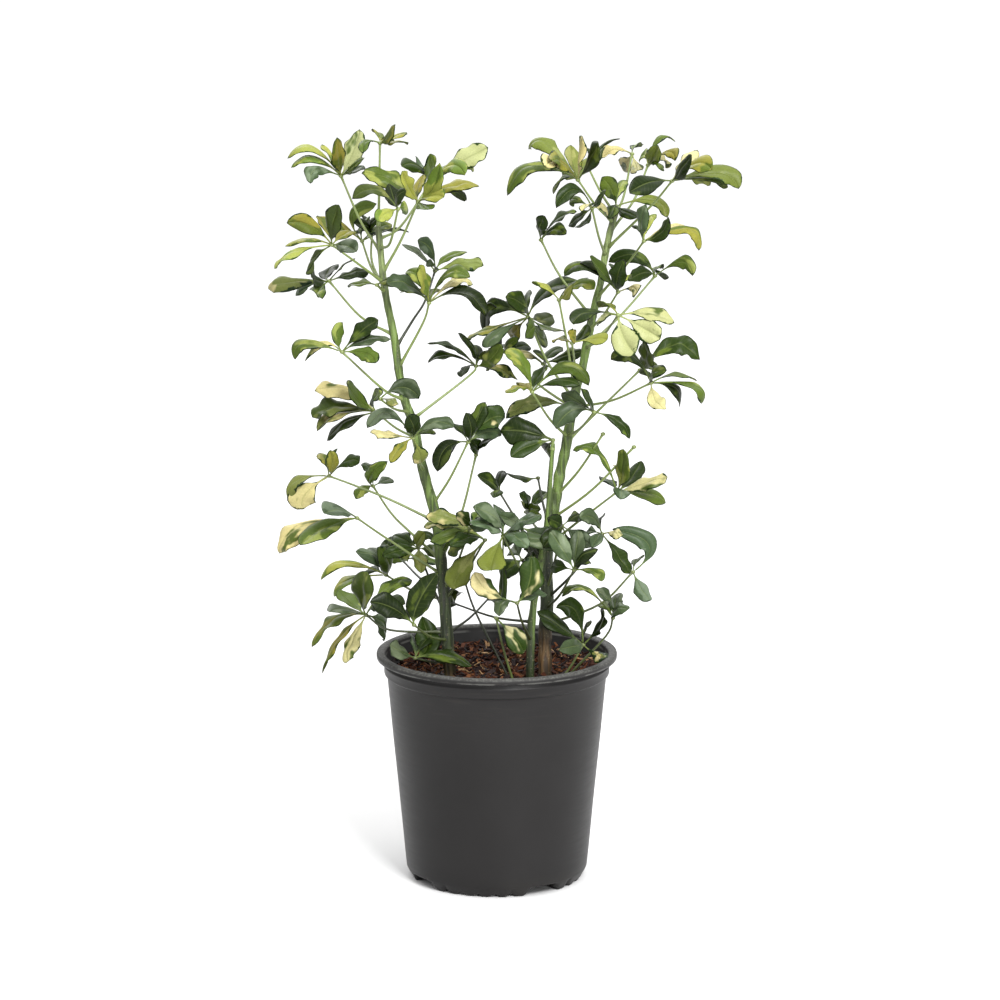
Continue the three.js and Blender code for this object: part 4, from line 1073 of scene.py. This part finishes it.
def add_stalk(skin, leaf, hub):
    """A leaf's stalk, thicker at both ends, and the knob at its hub."""
    points = stalk_route(leaf, hub)
    run = [0]
    for near, far in zip(points, points[1:]):
        run.append(run[-1] + (far - near).length)
    x, y = leaf.hub
    # Stalks low in the plant and the shadowed ones are painted darker: painted shade.
    shaded = smooth(SHADE_STARTS_PX, SHADE_FULL_PX, y) * (0.4 + 0.6 * chance(x))
    shade = blended(colour(*STALK_GREEN), colour(*STALK_SHADED), 1 if leaf.node in SHADOWED_STALKS else shaded)
    radii = []
    for along in run:
        foot = 1.3 * swelling(along, 7) if isinstance(leaf.root, str) else 0
        thin = between(STALK_FOOT_RADIUS, STALK_RADIUS, along / run[-1])
        radii.append(thin + foot + 0.5 * swelling(run[-1] - along, 3))
    tube(skin, points, radii, STALK_SIDES, 1, [{"body": (*shade, 0)}] * len(points))
    knob = [[hub - Vector((0, 0, HUB_HALF_HEIGHT))]]
    for level in (-0.6, 0, 0.6):
        radius = HUB_RADIUS * math.sqrt(1 - level * level)
        middle = hub + Vector((0, 0, HUB_HALF_HEIGHT * level))
        turns = turns_of(STALK_SIDES)
        knob.append([middle + Vector((math.cos(turn), math.sin(turn), 0)) * radius for turn in turns])
    knob.append([hub + Vector((0, 0, HUB_HALF_HEIGHT))])
    paint = {"body": (*blended(shade, colour(*HUB_LIGHT), 0.4), 0)}
    skin.loft(knob, 1, [[paint] * len(ring) for ring in knob])


def leaf_tips(leaf, hub):
    """Each leaflet's tip, middle, tone and seen width. Tips alternate nearer and farther by default."""
    flat = [(from_photo(tip[:2], leaf.depth) - hub).length for tip in leaf.tips]
    reach = max([SHORTEST_REACH, *flat])
    angles = [math.atan2(leaf.hub[1] - tip[1], tip[0] - leaf.hub[0]) for tip in leaf.tips]
    order = sorted(range(len(angles)), key=lambda i: angles[i])
    made = []
    for i, (x, y, code, *middle) in enumerate(leaf.tips):
        length = max(flat[i], 0.9 * reach)
        off = DEPTH_SHARE * math.sqrt(max(length * length - flat[i] * flat[i], 0))
        nearer = "f" in code or "b" not in code and order.index(i) % 2 == 0
        off = -off if nearer else off
        seen = int(code[1:].rstrip("fb"))
        through = None
        if middle:
            through = from_photo((middle[0], middle[1] + MIDDLE_DROP * seen), leaf.depth + off / 2)
        made.append((from_photo((x, y), leaf.depth + off), through, code[0], seen))
    return made


def outline_share(t):
    for (start, low), (end, high) in zip(OUTLINE, OUTLINE[1:]):
        if t <= end:
            return between(low, high, (t - start) / (end - start))
    return 0


def leaflet_paint(tone, seed):
    """The colours that one leaflet's points share, a little lighter or darker than its neighbours'."""
    *shades, patched, edge_width = TONES[tone]
    light = between(*LIGHTNESS.get(tone, USUAL_LIGHTNESS), chance(seed + 0.3))
    warm = 1 + 0.1 * (chance(seed + 0.7) - 0.5)
    tints = (light * warm, light, light / warm)
    body, patch, edge = [[part * tint for part, tint in zip(colour(*shade), tints)] for shade in shades]
    return {
        "body": (*body, patched * between(0.7, 1.3, chance(seed + 0.9))),
        "patch": (*patch, edge_width * between(0.5, 1.6, chance(seed + 0.2)) / 10),
        "edge": (*edge, 1),
    }


def leaflet_habit(tone, seed):
    """How one leaflet folds, rolls, ripples, twists, waves and hooks, and where it is broadest."""
    habit = {name: between(low, high, chance(seed + shift)) for name, (low, high, shift) in HABITS.items()}
    wild = WILDER if tone in WILD_TONES else 1
    habit["roll"] = habit["fold"] + habit["roll"] * wild
    habit["ripple"] *= wild
    return habit


def leaflet_facing(along, ratio, seed):
    """Where a blade faces: to the eye, or turned about its length where it is seen narrower."""
    turn = math.acos(min(max(ratio, NARROWEST_VIEW), FULLEST_VIEW))
    face_on = across(TO_EYE, along)
    edge_on = along.cross(face_on)
    upright = -1 if edge_on.z + 0.2 * (chance(seed + 0.5) - 0.5) < 0 else 1
    return face_on * math.cos(turn) + edge_on * upright * math.sin(turn)


def half_section(width, fold, roll):
    """Half a blade's cross-section from the midrib out: how far out and up each lane lies, and its lean."""
    places = []
    out = 0
    rise = 0
    inner = 0
    for lane in LANES:
        lean = fold - roll * (lane + inner) / 2
        out += (lane - inner) * width * math.cos(lean)
        rise += (lane - inner) * width * math.sin(lean)
        places.append((lane, out, rise, fold - roll * lane))
        inner = lane
    return places


def blade_section(habit, seed, width, bladed, t):
    """A blade's whole cross-section at a share of its length, level with the spine on average."""
    halves = {}
    for hand in (1, -1):
        phase = 2 * math.pi * (habit["waves"] * t + chance(seed + 2.5 + 0.2 * hand))
        uneven = 1 + bladed * (0.05 * math.sin(1.7 * phase + 1) + 0.08 * hand * (chance(seed + 2.8) - 0.5))
        wave = habit["ripple"] * math.sin(phase) * smooth(0.2, 0.5, t)
        halves[hand] = half_section(width * uneven, bladed * habit["fold"], bladed * (habit["roll"] + wave))
    lift = sum(rise for half in halves.values() for _, _, rise, _ in half) / (2 * len(LANES))
    lanes = [(0, 0, -MIDRIB_GROOVE * bladed - lift, 0)]
    for hand, half in halves.items():
        lanes += [(hand * lane, hand * out, rise - lift, -hand * lean) for lane, out, rise, lean in half]
    return sorted(lanes, reverse=True)


def add_leaflet(skin, hub, tip, seed):
    """One leaflet: a short stalk, then a blade folded along its midrib, with rolled and waved sides."""
    point, through, tone, seen = tip
    length = (point - hub).length
    ratio = SEEN_WIDTH * seen / (BLADE_WIDTH * length)
    facing = leaflet_facing((point - hub).normalized(), ratio, seed)
    centre = hub.lerp(point, 0.5)
    control = through * 2 - centre if through else centre + facing * 2 * BLADE_ARCH * length
    narrowed = min(ratio / NARROWEST_VIEW, 1)
    half_width = BLADE_WIDTH * length / 2 * min(max(ratio, 1), MOST_BROADENED) * narrowed
    habit = leaflet_habit(tone, seed)
    shared = leaflet_paint(tone, seed)
    *own, patched = shared["body"]
    stalk_shade = blended(own, colour(*STALK_GREEN), 0.6)
    rings = [[hub]]
    paints = [[{**shared, "body": (*stalk_shade, 0), "rim": LEAFLET_STALK_RIM}]]
    for station in range(1, STATIONS):
        t = station / STATIONS
        ahead = ((control - hub) * (1 - t) + (point - control) * t).normalized()
        up = Matrix.Rotation(habit["twist"] * smooth(0.1, 1, t), 3, ahead) @ across(facing, ahead)
        side = up.cross(ahead)
        spine = hub * (1 - t) ** 2 + control * 2 * t * (1 - t) + point * t ** 2
        spine = spine - up * (length * habit["hook"] * smooth(0.55, 1.2, t))
        bladed = smooth(STALK_END - 0.02, STALK_END + 0.14, t)
        stalky = 1 - smooth(STALK_END - 0.04, STALK_END + 0.1, t)
        up_blade = max(t - STALK_END, 0) / (1 - STALK_END)
        width = half_width * outline_share(t ** habit["broad"])
        thick = between(LEAFLET_STALK_RADIUS, BLADE_THICKNESS / 2, bladed)
        body = (*blended(own, stalk_shade, stalky), patched * (1 - stalky))
        tops = []
        bottoms = []
        for u, out, rise, lean in blade_section(habit, seed, width, bladed, t):
            normal = up * math.cos(lean) + side * math.sin(lean)
            place = spine + side * out + up * rise
            rounded = math.sqrt(1 - u * u)
            half_thick = thick * between(rounded, min(1, 3 * rounded), bladed)
            edge_off = min((1 - abs(u)) * width, (1 - t) * length * 0.6)
            paint = {
                **shared, "body": body, "rim": edge_off + LEAFLET_STALK_RIM * stalky,
                "spot": (u * width / SPOT_SIZE, t * length / SPOT_SIZE, 3.7 * seed % 50),
            }
            tops.append((place + normal * half_thick, {**paint, "blade": (u, up_blade, 0)}))
            if abs(u) < 1:
                bottoms.append((place - normal * half_thick, {**paint, "blade": (u, up_blade, 1)}))
        ring, painted = zip(*tops, *bottoms[::-1])
        rings.append(ring)
        paints.append(painted)
    drop = across(facing, (point - control).normalized()) * (length * habit["hook"] * smooth(0.55, 1.2, 1))
    rings.append([point - drop])
    paints.append([{**shared, "rim": 0, "blade": (0, 1, 0)}])
    skin.loft(rings, 0, paints)


def make_plant(finishes):
    """A piece for each leaf node, and one for each stem with the leaves that are grown onto it."""
    slots = {part["node"]: part["material_slot"] for part in frame["record"]["subparts"]}
    skins = {}
    for name in STEMS:
        skins[f"stem_{name}"] = Skin(Skin.BLANK)
        add_stem(skins[f"stem_{name}"], name)
    for number, leaf in enumerate(LEAVES):
        skin = skins.setdefault(leaf.node, Skin(Skin.BLANK))
        hub = from_photo(leaf.hub, leaf.depth)
        add_stalk(skin, leaf, hub)
        for i, tip in enumerate(leaf_tips(leaf, hub)):
            add_leaflet(skin, hub, tip, number * SEEDS_PER_LEAF + i)
    for node, skin in skins.items():
        skin.piece(f"{node}_fine", finishes, node, slots[node])


# Stage

def make_floor():
    finish = new_finish("studio_floor")
    finish.shade(Base_Color=(0.5, 0.5, 0.5, 1), Roughness=0.9, Specular_IOR_Level=0.0)
    mesh = bpy.data.meshes.new("studio_floor")
    corners = [(FLOOR_REACH * x, FLOOR_REACH * y, 0) for x, y in [(-1, -1), (1, -1), (1, 1), (-1, 1)]]
    mesh.from_pydata(corners, [], [(0, 1, 2, 3)])
    mesh.materials.append(finish.owner)
    put_in_scene("studio_floor", mesh)


def make_lamp(name, place, size, watts):
    """A square area lamp that faces the middle of the plant."""
    data = bpy.data.lights.new(name, "AREA")
    data.size = size
    data.energy = watts
    lamp = put_in_scene(name, data)
    lamp.location = place
    lamp.rotation_euler = (LAMP_AIM - lamp.location).to_track_quat("-Z", "Y").to_euler()


def make_dome():
    """A white dome of light, dim at the horizon and bright overhead."""
    dome = Finish(bpy.data.worlds.new("studio_dome"), "Background")
    _, _, high = dome.apart(dome.wire("ShaderNodeTexCoord", "Generated"))
    overhead = dome.step(0.0, 1.0, high) * (DOME_TOP - DOME_HORIZON)
    dome.shade(Color=(1, 1, 1, 1), Strength=DOME_HORIZON + overhead)
    bpy.context.scene.world = dome.owner


def make_camera():
    """The eye of the photograph."""
    data = bpy.data.cameras.new("camera")
    data.sensor_width = SENSOR_WIDTH
    data.lens = FOCAL_PX * SENSOR_WIDTH / IMAGE_PX
    camera = put_in_scene("camera", data)
    camera.location = EYE * MM + POT_AXIS
    camera.rotation_euler = (math.pi / 2 - LOOK_DOWN, 0, 0)
    bpy.context.scene.camera = camera


bpy.context.scene.view_settings.view_transform = "Standard"
make_floor()
make_dome()
for name, (place, size, watts) in LAMPS.items():
    make_lamp(name, place, size, watts)
make_camera()
make_pot(pot_finish())
make_mix(mix_finish())
make_plant([leaf_finish(), stalk_finish(), stem_finish()])
